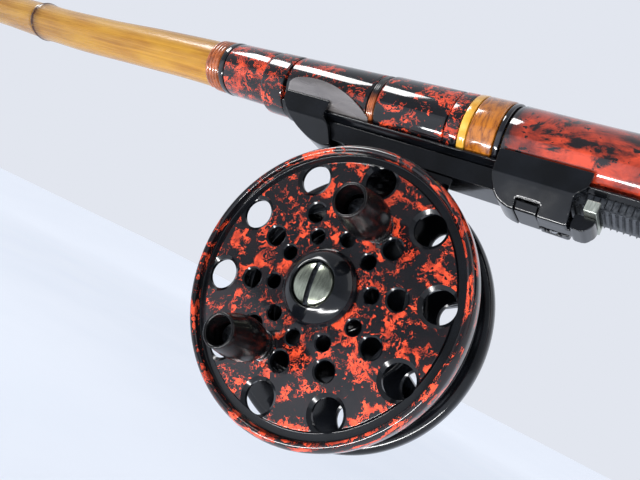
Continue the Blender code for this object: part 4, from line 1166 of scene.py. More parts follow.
def hoop(name, node, wall, edge):
    """A hoop of wire round the ring that a frame node holds, with its place, middle and bore."""
    low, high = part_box(node)
    x, centre = (low.x + high.x) / 2, (low.z + high.z) / 2
    inner = (high.y - low.y) / 2 + 0.1 * MM
    outer = inner + wall
    section = ((x - HOOP_HALF, inner), (x - HOOP_HALF, outer), (x + HOOP_HALF, outer), (x + HOOP_HALF, inner))
    made = turned(name, fillet(section, edge), dark_wire, "X", (0, 0, centre), sides=HOOP_SIDES)
    return made, x, centre, inner


def carrier(number):
    """The body that a guide sits on: the first is on the butt and the others on the tip."""
    return "rod" if number == 1 else "tip_section"


class RAFTROD_OT_guides(bpy.types.Operator):
    """Build the line guides and the tip top with their hard rings"""

    bl_idname = "raft_rod.guides"
    bl_label = "Line guides"

    def execute(self, context):
        for number in GUIDES:
            self.guide(number, carrier(number))
        self.tip_top()
        return {"FINISHED"}

    def guide(self, number, body):
        """A wire hoop on two bowed legs over one tapered foot, and the ring inside it."""
        insert = f"guide_ring_{number}"
        made = guide_ring(insert + "_polished", insert)
        seated(made, body, "guide_ring", insert)
        node = f"guide_frame_{number}"
        made, x, centre, inner = hoop(node + "_wire", insert, HOOP_WALL, 0.5 * MM)
        low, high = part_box(node)
        top, sole, rear = high.z, high.z - 0.9 * MM, high.x
        front = low.x + 0.2 * MM
        foot = [(front, top), (rear - 0.4 * MM, top), (rear, top - 0.3 * MM)]
        foot += [(rear - 9 * MM, sole), (front, sole)]
        foot = prism("foot", fillet(foot, 0.2 * MM), "Y", -1.5 * MM, 1.5 * MM, dark_wire)
        combined(made, foot, "UNION")
        reach = inner + HOOP_WALL / 2
        for side in (-1, 1):
            y = side * 0.55 * reach
            start = (x, y, centre + math.sqrt(reach**2 - y**2))
            middle = (x + 2.2 * MM, side * 1.4 * MM, (start[2] + sole) / 2)
            end = (x + 5.5 * MM, side * 0.7 * MM, sole + 0.25 * MM)
            leg = wire("leg", flowing((start, middle, end)), 0.55 * MM, dark_wire)
            combined(made, leg, "UNION")
        crown = centre + reach
        post = ((x, 0, crown), (x - 0.4 * MM, 0, (crown + sole) / 2), (x, 0, sole + 0.3 * MM))
        combined(made, wire("post", post, 0.6 * MM, dark_wire), "UNION")
        seated(made, body, "guide_frame", node)

    def tip_top(self):
        """The tube over the tip's end with its ring below."""
        node = "tip_top_ring"
        made = guide_ring(node + "_polished", node)
        seated(made, "tip_section", "guide_ring", node)
        low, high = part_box("tip_top_frame")
        tube_r = high.z
        front, bore = low.x + 1.2 * MM, 1.5 * MM
        tube = ((front, bore), (front, tube_r), (high.x, tube_r), (high.x, bore))
        made = turned("tip_top_tube", fillet(tube, 0.25 * MM), dark_wire, sides=48)
        ring_low, ring_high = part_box(node)
        wall = (high.y - low.y) / 2 - ((ring_high.y - ring_low.y) / 2 + 0.1 * MM)
        combined(made, hoop("hoop", node, wall, 0.4 * MM)[0], "UNION")
        seated(made, "tip_section", "guide_frame", "tip_top_frame")


# ---------------------------------------------------------------- reel seat


def tooth_tree():
    """Three-sided ridges in a row, for the rack."""
    kinds = {"Count": "Int", "Pitch": "Float", "Ridge": "Float", "Width": "Float"}
    kinds |= {"Turn": "Vector", "Start": "Vector", "Finish": "Material"}
    tree, given = geometry_tree("rack_teeth", kinds)
    ridge = {"Vertices": 3, "Radius": given["Ridge"], "Depth": given["Width"]}
    ridge = add_node(tree, "GeometryNodeMeshCylinder", ridge)
    ridge = add_node(tree, "GeometryNodeTransform", {"Geometry": ridge, "Rotation": given["Turn"]})
    along = add_node(tree, "ShaderNodeCombineXYZ", {"X": given["Pitch"]})
    line = {"Count": given["Count"], "Start Location": given["Start"], "Offset": along}
    line = add_node(tree, "GeometryNodeMeshLine", line)
    rows = add_node(tree, "GeometryNodeInstanceOnPoints", {"Points": line, "Instance": ridge})
    close_tree(tree, rows, given["Finish"])
    return tree


class RAFTROD_OT_seat(bpy.types.Operator):
    """Build the seat's plate with its rack, and the leaf that hugs the grip"""

    bl_idname = "raft_rod.seat"
    bl_label = "Reel seat plate"

    def execute(self, context):
        self.plate()
        self.leaf()
        return {"FINISHED"}

    def plate(self):
        """The curved plate with rounded edges, its front tongue, and the rack's bar and teeth."""
        low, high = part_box("seat_plate")
        front = low.x + TONGUE_LENGTH
        outline = fillet(sheet_outline(PLATE_R, PLATE_R + PLATE_THICK, PLATE_ANGLE, 20), 0.3 * MM, steps=3)
        made = prism("seat_plate_formed", outline, "X", front + JOGGLE / 2, high.x)
        bend = sheet_outline(TONGUE_R + 0.2 * MM, PLATE_R + PLATE_THICK / 2, TONGUE_ANGLE - 1, 12)
        combined(made, prism("bend", bend, "X", front, front + JOGGLE), "UNION")
        tongue = sheet_outline(TONGUE_R, TONGUE_R + TONGUE_THICK, TONGUE_ANGLE, 12)
        tongue = prism("tongue", tongue, "X", low.x, front + JOGGLE / 2 - 0.2 * MM)
        combined(made, tongue, "UNION")
        bar_bottom = RACK_BOTTOM + TOOTH_R * 0.6
        side = -math.sqrt((PLATE_R + PLATE_THICK / 2) ** 2 - RACK_HALF**2)
        crown = -(PLATE_R + PLATE_THICK / 2)
        bar = [(-RACK_HALF, side), (-RACK_HALF, bar_bottom), (RACK_HALF, bar_bottom), (RACK_HALF, side)]
        bar += [(RACK_HALF / 2, (2 * crown + side) / 3), (-RACK_HALF / 2, (2 * crown + side) / 3)]
        combined(made, prism("bar", bar, "X", RACK_FRONT, high.x - MM, rack_steel), "UNION")
        seated(made, "rod", "black_enamel", "seat_plate")
        count = int((high.x - RACK_FRONT - 4 * MM) / TOOTH_PITCH)
        tree = tooth_tree()
        flat, upright = 2 * RACK_HALF - 1.6 * MM, 2.2 * MM
        quarter = math.pi / 2
        side = RACK_HALF - 0.1 * MM
        rows = (
            ("under", TOOTH_R, flat, (quarter, quarter, 0.0), (0.0, bar_bottom)),
            ("face", TOOTH_R / 2, upright, (0.0, 0.0, -quarter), (-side, bar_bottom + 1.7 * MM)),
            ("back", TOOTH_R / 2, upright, (0.0, 0.0, quarter), (side, bar_bottom + 1.7 * MM)),
        )
        for name, ridge, width, turn, place in rows:
            values = {
                "Count": count,
                "Pitch": TOOTH_PITCH,
                "Ridge": ridge,
                "Width": width,
                "Turn": turn,
                "Start": (RACK_FRONT + 2 * MM, *place),
                "Finish": finish(rack_steel),
            }
            teeth = grown("rack_teeth_" + name, tree, values)
            seated(teeth, "rod", "black_enamel", "seat_plate", sharp=20)

    def leaf(self):
        """The thin smoky leaf: a sheet round the grip whose top edge runs in one long curve."""
        top = [(-45.3, -3.4), (-43.5, -1.9), (-40, -1.0), (-34, -0.7), (-28, -1.4), (-22, -3.1)]
        top += [(-17, -5.3), (-13.4, -7.4)]
        line = flowing([(x * MM, z * MM) for x, z in top], 5)
        mesh = bmesh.new()
        rows = []
        steps = 64
        sheet = ((SADDLE_R, range(steps + 1)), (SADDLE_R + SADDLE_THICK, range(steps, -1, -1)))
        for x, z in line:
            section = []
            reach = math.acos(min(-z / (SADDLE_R + SADDLE_THICK / 2), 1))
            for radius, order in sheet:
                for step in order:
                    angle = -math.pi / 2 - reach + 2 * reach * step / steps
                    section.append(mesh.verts.new((x, radius * math.cos(angle), radius * math.sin(angle))))
            rows.append(section)
        bridge(mesh, rows)
        for row in (rows[0], rows[-1]):
            for step in range(steps):
                mesh.faces.new((row[step], row[step + 1], row[2 * steps - step], row[2 * steps + 1 - step]))
        made = add("seat_leaf", mesh, grey_lacquered_leaf)
        seated(made, "rod", "black_enamel", "seat_saddle", sharp=50)


def hood_half(z):
    """Half the width of a hood's outside at a height."""
    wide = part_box("sliding_hood")[1].y
    lean = (wide - HOOD_SOLE_HALF) / (HOOD_SHOULDER - HOOD_SOLE)
    return wide - lean * max(HOOD_SHOULDER - z, 0)


def hood_shell(name, outline, channel, front, rear):
    """A hood's side outline, narrowed below and hollowed for the grip, the plate and the foot."""
    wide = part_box("sliding_hood")[1].y
    body = prism(name, outline, "Y", -wide, wide)
    below = -21.2 * MM
    section = [(-wide, MM, 0), (-wide, HOOD_SHOULDER, 0.8 * MM), (-hood_half(below), below, 0)]
    section += [(-y, z, r) for y, z, r in reversed(section)]
    ends = (front - MM, rear + MM)
    combined(body, prism("lean", fillet(section, 0), "X", *ends), "INTERSECT")
    bored(body, *ends, SADDLE_R + SADDLE_THICK + GAP)
    slot = sheet_outline(TONGUE_R, PLATE_R + PLATE_THICK + GAP, PLATE_ANGLE + 4)
    combined(body, prism("plate_way", slot, "X", *ends))
    half = FOOT_HALF + GAP
    combined(body, prism("foot_way", channel, "Y", -half, half))
    return body


def foot_line(spare):
    """The foot's side outline in X and Z, grown by a clearance."""
    low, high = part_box("reel_foot")
    top = -(PLATE_R - MM)
    front, rear = low.x - spare, high.x + spare
    sole, toe = low.z - spare, FOOT_TOE - spare
    return (
        (front, top),
        (front, toe),
        (FOOT_FLAT[0] - spare, sole),
        (FOOT_FLAT[1] + spare, sole),
        (rear, toe),
        (rear, top),
    )


class RAFTROD_OT_hoods(bpy.types.Operator):
    """Build the fixed hood, the sliding hood and its lock lever and pawl"""

    bl_idname = "raft_rod.hoods"
    bl_label = "Hoods and lock"

    def execute(self, context):
        self.fixed()
        self.sliding()
        self.lever()
        self.pawl()
        repaint(turned_steel, "lever_spring")
        reach = hood_half(LEVER_PIN.z) - 1.2 * MM
        outline = ((-reach, 0), (-reach, LEVER_PIN_R, 0.2 * MM), (reach, LEVER_PIN_R, 0.2 * MM), (reach, 0))
        outline = fillet(outline, 0, closed=False)
        pin = turned("lever_pin_cut", outline, turned_steel, "Y", LEVER_PIN, sides=PIN_SIDES, closed=False)
        seated(pin, "hood", "steel", "lever_pin")
        return {"FINISHED"}

    def fixed(self):
        """The front hood: a rounded nose with a faceted cheek and a drawn-in rear edge."""
        low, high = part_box("fixed_hood")
        front, top = low.x, high.z
        outline = fillet(
            (
                (front, top, 0.6 * MM),
                (front + 0.6 * MM, -9.2 * MM, 3 * MM),
                (front + 3.8 * MM, -12.9 * MM, 3 * MM),
                (front + 8.6 * MM, -16.2 * MM, 4 * MM),
                (front + 14.6 * MM, -18.8 * MM, 4 * MM),
                (front + 20.0 * MM, -19.6 * MM, 2 * MM),
                (front + 23.1 * MM, -18.8 * MM, 0.6 * MM),
                (front + 21.0 * MM, -13.6 * MM, 1.4 * MM),
                (front + 18.0 * MM, -11.2 * MM, 0.6 * MM),
                (front + 18.0 * MM, top, 0.4 * MM),
            ),
            MM,
            steps=6,
        )
        channel = list(foot_line(GAP))
        channel[3:] = [(0, HOOD_FLOOR), (0, channel[0][1])]
        body = hood_shell("fixed_hood_cast", outline, channel, front, high.x)
        seated(softened(body, black_enamel), "rod", "black_enamel", "fixed_hood", sharp=0)

    def sliding(self):
        """The rear hood, windowed for the lever's pad and slotted for its arm."""
        low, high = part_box("sliding_hood")
        front, top, rear = low.x, high.z, high.x
        bottom = low.z
        outline = fillet(
            (
                (front, top, 0.4 * MM),
                (front + 0.9 * MM, -15.2 * MM, 2.5 * MM),
                (front + 3.6 * MM, -18.9 * MM, 3 * MM),
                (front + 7.2 * MM, bottom, 3 * MM),
                (front + 23.0 * MM, bottom, 0.8 * MM),
                (front + 22.4 * MM, HOOD_SHOULDER, 1.2 * MM),
                (front + 24.8 * MM, -10.4 * MM, 0.8 * MM),
                (rear, top, 0.4 * MM),
            ),
            MM,
            steps=6,
        )
        channel = ((front - MM, -10 * MM), (front - MM, HOOD_FLOOR), (rear + MM, HOOD_FLOOR))
        channel += ((rear + MM, -10 * MM),)
        body = hood_shell("sliding_hood_cast", outline, channel, front, rear)
        pad = (PAD_X[0] - GAP, PAD_X[1] + GAP)
        wide = high.y + MM
        deep, roof = bottom - 2 * MM, -15 * MM
        inside = 7.2 * MM
        cuts = (
            ((pad[0], -wide, deep), (pad[1], wide, PAD_TOP + 0.1 * MM)),
            ((pad[0], -LEVER_ARM_HALF - GAP, deep), (rear + MM, LEVER_ARM_HALF + GAP, roof)),
            ((pad[0], -inside, deep), (pad[1], inside, roof)),
        )
        for corners in cuts:
            carved(body, *corners)
        reach = hood_half(LEVER_PIN.z) - 0.9 * MM
        bored(body, -reach, reach, LEVER_PIN_R + GAP, "Y", LEVER_PIN, PIN_SIDES)
        room = LEVER_PIN_R + 1.4 * MM
        low_corner = (LEVER_PIN.x - room, -MM, deep)
        high_corner = (LEVER_PIN.x + room, LEVER_ARM_HALF + GAP + 1.6 * MM, roof)
        carved(body, low_corner, high_corner)
        seated(softened(body, black_enamel), "hood", "black_enamel", "sliding_hood", sharp=0)

    def lever(self):
        """The lock lever: a pad flush in the hood's windows, a slim arm and a thumb tab."""
        low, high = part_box("lock_lever")
        sole = low.z
        pad = [(-hood_half(PAD_TOP) + 0.3 * MM, PAD_TOP, 0.3 * MM)]
        pad += [(-hood_half(sole) + 0.1 * MM, sole, 0.5 * MM)]
        pad += [(-y, z, r) for y, z, r in reversed(pad)]
        body = prism("lock_lever_cast", fillet(pad, 0.3 * MM), "X", *PAD_X)
        arm_low = (42.4 * MM, -LEVER_ARM_HALF, sole + 0.1 * MM)
        arm_high = (54 * MM, LEVER_ARM_HALF, -16.4 * MM)
        combined(body, block("arm", arm_low, arm_high), "UNION")
        tab = (
            (53.0 * MM, TAB_TOP, 0.5 * MM),
            (53.0 * MM, sole, 0.8 * MM),
            (high.x - 1.8 * MM, sole, 0.8 * MM),
            (high.x, sole + 2.2 * MM, 0.8 * MM),
            (high.x, TAB_TOP, 0.4 * MM),
        )
        combined(body, prism("tab", fillet(tab, 0.5 * MM), "Y", -4.8 * MM, 4.8 * MM), "UNION")
        wide = LEVER_ARM_HALF + MM
        bored(body, -wide, wide, LEVER_PIN_R + GAP, "Y", LEVER_PIN, PIN_SIDES)
        seated(softened(body, black_enamel, 0.2 * MM, 3), "lock", "black_enamel", "lock_lever", sharp=0)

    def pawl(self):
        """The pawl: a pale steel yoke over the rack."""
        low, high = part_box("lock_pawl")
        cheek = RACK_HALF + GAP + 0.1 * MM
        crest = RACK_BOTTOM - GAP
        yoke = [(-high.y, high.z), (-high.y, low.z)]
        yoke += [(-y, z) for y, z in reversed(yoke)]
        yoke += [(cheek, high.z), (cheek, crest), (-cheek, crest), (-cheek, high.z)]
        body = prism("lock_pawl_milled", fillet(yoke, 0.25 * MM, steps=3), "X", low.x, high.x, pawl_steel)
        seated(softened(body, pawl_steel, 0.15 * MM, 2), "lock", "steel", "lock_pawl", sharp=0)


# ---------------------------------------------------------------- reel


def on_pitch(radius, angle):
    """X and Z of a point at an angle from +X towards +Z about the spool's axis."""
    return radius * math.cos(angle), SPOOL.z + radius * math.sin(angle)


class RAFTROD_OT_frame(bpy.types.Operator):
    """Build the reel's foot, and the frame with its ring, spokes and bridge"""

    bl_idname = "raft_rod.frame"
    bl_label = "Reel foot and frame"

    def execute(self, context):
        self.foot()
        self.ring()
        self.screws()
        repaint(turned_steel, "spindle", "knob_post_a", "knob_post_b")
        repaint(polished_chrome, "front_bearing", "rear_bearing")
        repaint(turned_brass, "bearing_spacer", "click_gear", "click_pawl")
        self.click_button()
        return {"FINISHED"}

    def foot(self):
        """The foot: a long bar with tapered toes, hollowed on top to the plate's curve."""
        low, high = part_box("reel_foot")
        outline = [(x, z, 3 * MM if z == low.z else 0.6 * MM) for x, z in foot_line(0)]
        outline = fillet(outline, MM, steps=6)
        made = prism("reel_foot_milled", outline, "Y", -FOOT_HALF, FOOT_HALF)
        bored(made, low.x - MM, high.x + MM, PLATE_R + PLATE_THICK + GAP)
        for x in (-FOOT_SCREW_X, FOOT_SCREW_X):
            combined(made, self.screw_way(x, low.z - MM, low.z + 2.6 * MM))
        seated(softened(made, black_enamel, 0.26 * MM, 3), "rod", "black_enamel", "reel_foot", sharp=0)

    def screw_way(self, x, low, high):
        """A round way up through the foot or the bridge."""
        outline = []
        for step in range(24):
            turn = 2 * math.pi * step / 24
            reach = FOOT_SCREW_R + GAP
            outline.append((x + reach * math.cos(turn), reach * math.sin(turn)))
        return prism("screw_way", outline, "Z", low, high)

    def ring(self):
        """The frame behind the spool: a full round ring, six spokes, a hub, and the bridge above."""
        low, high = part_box("reel_frame")
        outer = (high.x - low.x) / 2
        hub_front = 9.9 * MM
        ring_front, ring_rear = 9.0 * MM, 15.2 * MM
        bore = SPINDLE_R + GAP
        profile = fillet(
            (
                (hub_front, bore, 0.2 * MM),
                (hub_front, FRAME_HUB_R, 0.3 * MM),
                (WEB_Y[0], FRAME_HUB_R, 0.3 * MM),
                (WEB_Y[0], RING_INNER_R, 0.4 * MM),
                (ring_front, RING_INNER_R + 1.0 * MM, 1.6 * MM),
                (ring_front, outer, 2.6 * MM),
                (ring_rear, outer, 2.9 * MM),
                (ring_rear, RING_INNER_R + 1.0 * MM, 1.8 * MM),
                (WEB_Y[1], RING_INNER_R, 0.4 * MM),
                (WEB_Y[1], FRAME_HUB_R + 2.0 * MM, 1.2 * MM),
                (high.y, FRAME_HUB_R, 1.0 * MM),
                (high.y, bore, 0.3 * MM),
            ),
            MM,
            steps=7,
        )
        made = turned("reel_frame_cast", profile, black_enamel, "Y", SPOOL, sides=REEL_SIDES)
        for spoke in range(SPOKES):
            combined(made, self.window(spoke))
        top = FOOT_BOTTOM - GAP
        waist = 13.4 * MM
        flank = SPOOL.z + math.sqrt((outer - 1.8 * MM) ** 2 - waist**2) - MM
        arch = ((-waist, top, 0.8 * MM), (-waist, flank, 0), (waist, flank, 0), (waist, top, 0.8 * MM))
        arch = prism("arch", fillet(arch, 0), "Y", ring_front + 0.6 * MM, ring_rear - 2.2 * MM)
        combined(made, arch, "UNION")
        half, shelf_bottom = 19.6 * MM, -19.2 * MM
        shelf = (
            (-half, low.y, 1.2 * MM),
            (half, low.y, 1.2 * MM),
            (waist - 0.1 * MM, ring_front + 1.4 * MM, 0),
            (0.1 * MM - waist, ring_front + 1.4 * MM, 0),
        )
        shelf = prism("shelf", fillet(shelf, 0), "Z", shelf_bottom, top)
        combined(made, shelf, "UNION")
        for x in (-FOOT_SCREW_X, FOOT_SCREW_X):
            combined(made, self.screw_way(x, shelf_bottom - 1.8 * MM, top + MM))
        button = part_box("click_button")
        middle = (button[0].z + button[1].z) / 2
        slot = 1.7 * MM
        travel = JOINTS["click_slide"]["range_m"][1]
        low_corner = (-slot, WEB_Y[0] - MM, middle - slot)
        carved(made, low_corner, (slot, WEB_Y[1] + MM, middle + slot + travel))
        seated(made, "rod", "black_enamel", "reel_frame", sharp=28)

    def window(self, spoke):
        """The opening between two spokes, with rounded corners."""
        middle = math.pi / 2 + 2 * math.pi * (spoke + 0.5) / SPOKES
        half = math.pi / SPOKES
        outer = RING_INNER_R - 0.6 * MM
        points = []
        for radius, order in ((outer, range(-8, 9)), (WEB_R, range(8, -9, -1))):
            lean = half - SPOKE_WIDTH / 2 / radius
            for step in order:
                x, z = on_pitch(radius, middle + lean * step / 8)
                points.append((x, z, 2.2 * MM if abs(step) == 8 else 0))
        outline = fillet(points, 0, steps=5)
        return prism("window", outline, "Y", WEB_Y[0] - MM, WEB_Y[1] + MM)

    def screws(self):
        """Slotted screws up through the bridge into the foot."""
        for number, x in enumerate((-FOOT_SCREW_X, FOOT_SCREW_X), 1):
            node = f"foot_screw_{number}"
            low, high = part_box(node)
            head = (high.x - low.x) / 2
            profile = ((low.z, 0, 0), (low.z, head, 0.5 * MM), (low.z + 1.2 * MM, head, 0.1 * MM))
            profile += ((low.z + 1.2 * MM, FOOT_SCREW_R, 0), (high.z, FOOT_SCREW_R, 0.3 * MM), (high.z, 0, 0))
            profile = fillet(profile, 0, closed=False)
            made = turned(node + "_cut", profile, turned_steel, "Y", sides=SCREW_SIDES, closed=False)
            made.data.transform(Matrix.Rotation(math.pi / 2, 4, "X"))
            made.data.transform(Matrix.Translation((x, 0, 0)))
            reach, half = 3 * MM, 0.3 * MM
            carved(made, (x - reach, -half, low.z - MM), (x + reach, half, low.z + 0.5 * MM), turned_steel)
            seated(made, "rod", "steel", node)

    def click_button(self):
        """The chromed click button with a dished top, on its square stem."""
        low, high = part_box("click_button")
        centre = Vector((0, 0, (low.z + high.z) / 2))
        radius = (high.x - low.x) / 2
        back = WEB_Y[1] + GAP
        profile = fillet(
            (
                (back, 0, 0),
                (back, radius, 0.3 * MM),
                (high.y - 0.5 * MM, radius, 0.4 * MM),
                (high.y, radius - 1.0 * MM, 0.4 * MM),
                (high.y - 0.5 * MM, radius * 0.4, 0.8 * MM),
                (high.y - 0.7 * MM, 0, 0),
            ),
            EASE,
            closed=False,
        )
        sides = {"sides": HOOP_SIDES, "closed": False}
        made = turned("click_button_turned", profile, polished_chrome, "Y", centre, **sides)
        half = 1.4 * MM
        corners = ((-half, low.y, centre.z - half), (half, back + 0.4 * MM, centre.z + half))
        combined(made, block("stem", *corners, polished_chrome), "UNION")
        seated(made, "click", "chrome", "click_button")


class RAFTROD_OT_spool(bpy.types.Operator):
    """Build the pierced spool face, the drum, the boss and the tension screw"""

    bl_idname = "raft_rod.spool"
    bl_label = "Spool"

    def execute(self, context):
        self.face()
        self.drum()
        self.boss()
        self.tension_screw()
        return {"FINISHED"}

    def face(self):
        """The face: a flat plate in a black groove, inside a full rim bead, pierced by three rings."""
        rear = FACE_Y + FACE_THICK
        bead = RIM_R - RIM_BEAD
        step = bead - GROOVE
        floor = FACE_Y + GROOVE_DEPTH
        bore = SPINDLE_R + 2 * GAP
        profile = fillet(
            (
                (rear, bore, 0.1 * MM),
                (FACE_Y, bore, 0.1 * MM),
                (FACE_Y, step, 0.3 * MM),
                (floor, step + 0.25 * MM, 0.3 * MM),
                (floor, bead - 0.1 * MM, 0.4 * MM),
                (RIM_FRONT + 0.2 * MM, bead + 0.2 * MM, 0.9 * MM),
                (RIM_FRONT, bead + RIM_BEAD * 0.55, 1.0 * MM),
                (RIM_FRONT + 1.6 * MM, RIM_R, 1.0 * MM),
                (RIM_REAR, RIM_R, 0.5 * MM),
                (RIM_REAR, bead + 0.4 * MM, 0.3 * MM),
                (rear, bead - 0.4 * MM, 0.2 * MM),
            ),
            EASE,
            steps=5,
        )
        made = turned("spool_face_turned", profile, face_marbling, "Y", SPOOL, sides=REEL_SIDES)
        for pitch_r, radius, flare in HOLE_RINGS:
            drills = ring_of_drills("face_drills", pitch_r, radius, flare, (FACE_Y, rear), black_enamel)
            combined(made, drills)
        data = made.data
        slots = [material.name for material in data.materials]
        black = slots.index(finish(black_enamel).name)
        face = slots.index(finish(face_marbling).name)
        data.materials.append(finish(rim_marbling))
        rim = len(data.materials) - 1
        for polygon in data.polygons:
            if polygon.material_index != face:
                continue
            centre = polygon.center
            reach = math.hypot(centre.x, centre.z - SPOOL.z)
            if centre.y > FACE_Y + 0.12 * MM and reach < bead + 0.15 * MM:
                polygon.material_index = black
            elif reach > bead - 0.2 * MM:
                polygon.material_index = rim
        seated(made, "spool", "marbled_enamel", "spool_face", sharp=28)

    def drum(self):
        """The drum: arbor, hub and pierced back flange, all rounded at the edges."""
        low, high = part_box("spool_drum")
        front, rear, flange = low.y, high.y, 6.5 * MM
        outer = (high.x - low.x) / 2
        profile = fillet(
            (
                (front, HUB_BORE),
                (rear, HUB_BORE),
                (rear, outer, 0.5 * MM),
                (flange, outer, 0.5 * MM),
                (flange, ARBOR_R, 1.0 * MM),
                (front, ARBOR_R, 0.2 * MM),
                (front, ARBOR_R - ARBOR_WALL, 0.2 * MM),
                (flange, ARBOR_R - ARBOR_WALL, 0.8 * MM),
                (flange, HUB_R, 0.8 * MM),
                (front, HUB_R, 0.2 * MM),
            ),
            0.1 * MM,
            steps=4,
        )
        made = turned("spool_drum_turned", profile, black_enamel, "Y", SPOOL, sides=128)
        pitch_r, radius, flare = HOLE_RINGS[0]
        drills = ring_of_drills("drum_drills", pitch_r, radius, flare / 2, (flange, rear), black_enamel)
        combined(made, drills)
        seated(made, "spool", "black_enamel", "spool_drum", sharp=28)

    def boss(self):
        """The boss: a black dome round the screw, with a fine lip inside and a foot outside."""
        low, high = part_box("boss_cap")
        base, top = high.y, low.y
        inner = SCREW_R + GAP
        line = flowing(
            (
                (base - 1.0 * MM, BOSS_R - 0.1 * MM),
                (base - 2.4 * MM, BOSS_R - 0.9 * MM),
                (base - 3.7 * MM, BOSS_R - 2.3 * MM),
                (top + 0.25 * MM, BOSS_R - 3.9 * MM),
            )
        )
        outline = [(base, inner), (base, BOSS_R), (base - 0.5 * MM, BOSS_R)]
        outline += [(base - 0.9 * MM, BOSS_R - 0.25 * MM), *line, (top, BOSS_R - 4.5 * MM)]
        outline += [(top + 0.15 * MM, inner + 0.25 * MM), (top + 0.6 * MM, inner)]
        made = turned("boss_cap_turned", outline, black_enamel, "Y", SPOOL)
        seated(made, "spool", "black_enamel", "boss_cap", sharp=40)

    def tension_screw(self):
        """The coin-slotted screw: a shallow nickel dome on a shank."""
        low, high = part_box("tension_screw")
        seat = low.y + 3.3 * MM
        dome = [(seat - 1.7 * MM, SCREW_R), (seat - 2.3 * MM, SCREW_R - 0.7 * MM)]
        dome = flowing(dome + [(seat - 3.0 * MM, SCREW_R * 0.55), (low.y, 0.0)])
        profile = [(high.y, 0), (high.y, 1.4 * MM), (seat, 1.4 * MM), (seat, SCREW_R)] + dome
        made = turned("tension_screw_turned", profile, nickel_screw, "Y", SPOOL, closed=False)
        half = COIN_SLOT / 2
        corners = ((-half, seat - 5 * MM, -9 * MM), (half, seat - 1.7 * MM, 9 * MM))
        slot = block("coin_slot", *corners, rack_steel)
        slot.data.transform(Matrix.Rotation(COIN_TURN, 4, "Y"))
        slot.data.transform(Matrix.Translation((0, 0, SPOOL.z)))
        combined(made, slot)
        seated(made, "tension_screw", "steel", "tension_screw")


class RAFTROD_OT_knobs(bpy.types.Operator):
    """Build both handle knobs and the screws in their ends"""

    bl_idname = "raft_rod.knobs"
    bl_label = "Handle knobs"

    def execute(self, context):
        for side in "ab":
            self.knob(side)
            self.screw(side)
        return {"FINISHED"}

    def knob(self, side):
        """A barrel knob: a narrow neck, a full belly and a cupped end with a fine lip."""
        node = f"knob_{side}"
        low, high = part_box(node)
        centre = Vector(JOINTS[node + "_spin"]["pos_m"])
        tip, start = low.y, high.y
        length = start - tip
        bore = 2.3 * MM
        belly = (high.x - low.x) / 2
        skin = flowing(
            (
                (start - 0.5 * MM, 4.3 * MM),
                (start - 0.06 * length, 4.35 * MM),
                (start - 0.16 * length, 5.05 * MM),
                (start - 0.30 * length, 6.0 * MM),
                (start - 0.46 * length, belly - 0.02 * MM),
                (start - 0.64 * length, 6.05 * MM),
                (start - 0.80 * length, 5.45 * MM),
                (start - 0.92 * length, 4.95 * MM),
                (tip + 0.5 * MM, 4.8 * MM),
            ),
            5,
        )
        lip = [(tip + 0.15 * MM, 4.7 * MM), (tip, 4.5 * MM), (tip, 4.2 * MM), (tip + 0.25 * MM, 3.95 * MM)]
        floor = tip + 8 * MM
        inside = [(tip + 0.8 * MM, 3.8 * MM), (floor - 0.6 * MM, 3.75 * MM), (floor, 3.3 * MM), (floor, bore)]
        outline = [(start, bore), (start, 4.0 * MM)] + skin + lip + inside
        made = turned(node + "_turned", outline, knob_black, "Y", (centre.x, 0, centre.z), sides=72)
        seated(made, node, "black_knob", node, sharp=50)

    def screw(self, side):
        """The slotted screw at the bottom of a knob's cup."""
        node = f"knob_screw_{side}"
        low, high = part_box(node)
        centre = Vector(JOINTS[f"knob_{side}_spin"]["pos_m"])
        head = (high.x - low.x) / 2
        profile = ((high.y, 0, 0), (high.y, 0.9 * MM, 0.1 * MM), (low.y + 1.6 * MM, 0.9 * MM, 0))
        profile += ((low.y + 1.6 * MM, head, 0.2 * MM), (low.y + 0.8 * MM, head, 0.6 * MM), (low.y, 0, 0))
        profile, middle = fillet(profile, 0, closed=False), (centre.x, 0, centre.z)
        made = turned(node + "_cut", profile, rack_steel, "Y", middle, sides=SCREW_SIDES, closed=False)
        reach, half = 4 * MM, 0.35 * MM
        low_corner = (centre.x - reach, low.y - MM, centre.z - half)
        carved(made, low_corner, (centre.x + reach, low.y + 0.7 * MM, centre.z + half), rack_steel)
        seated(made, "spool", "steel", node)


# ---------------------------------------------------------------- stage


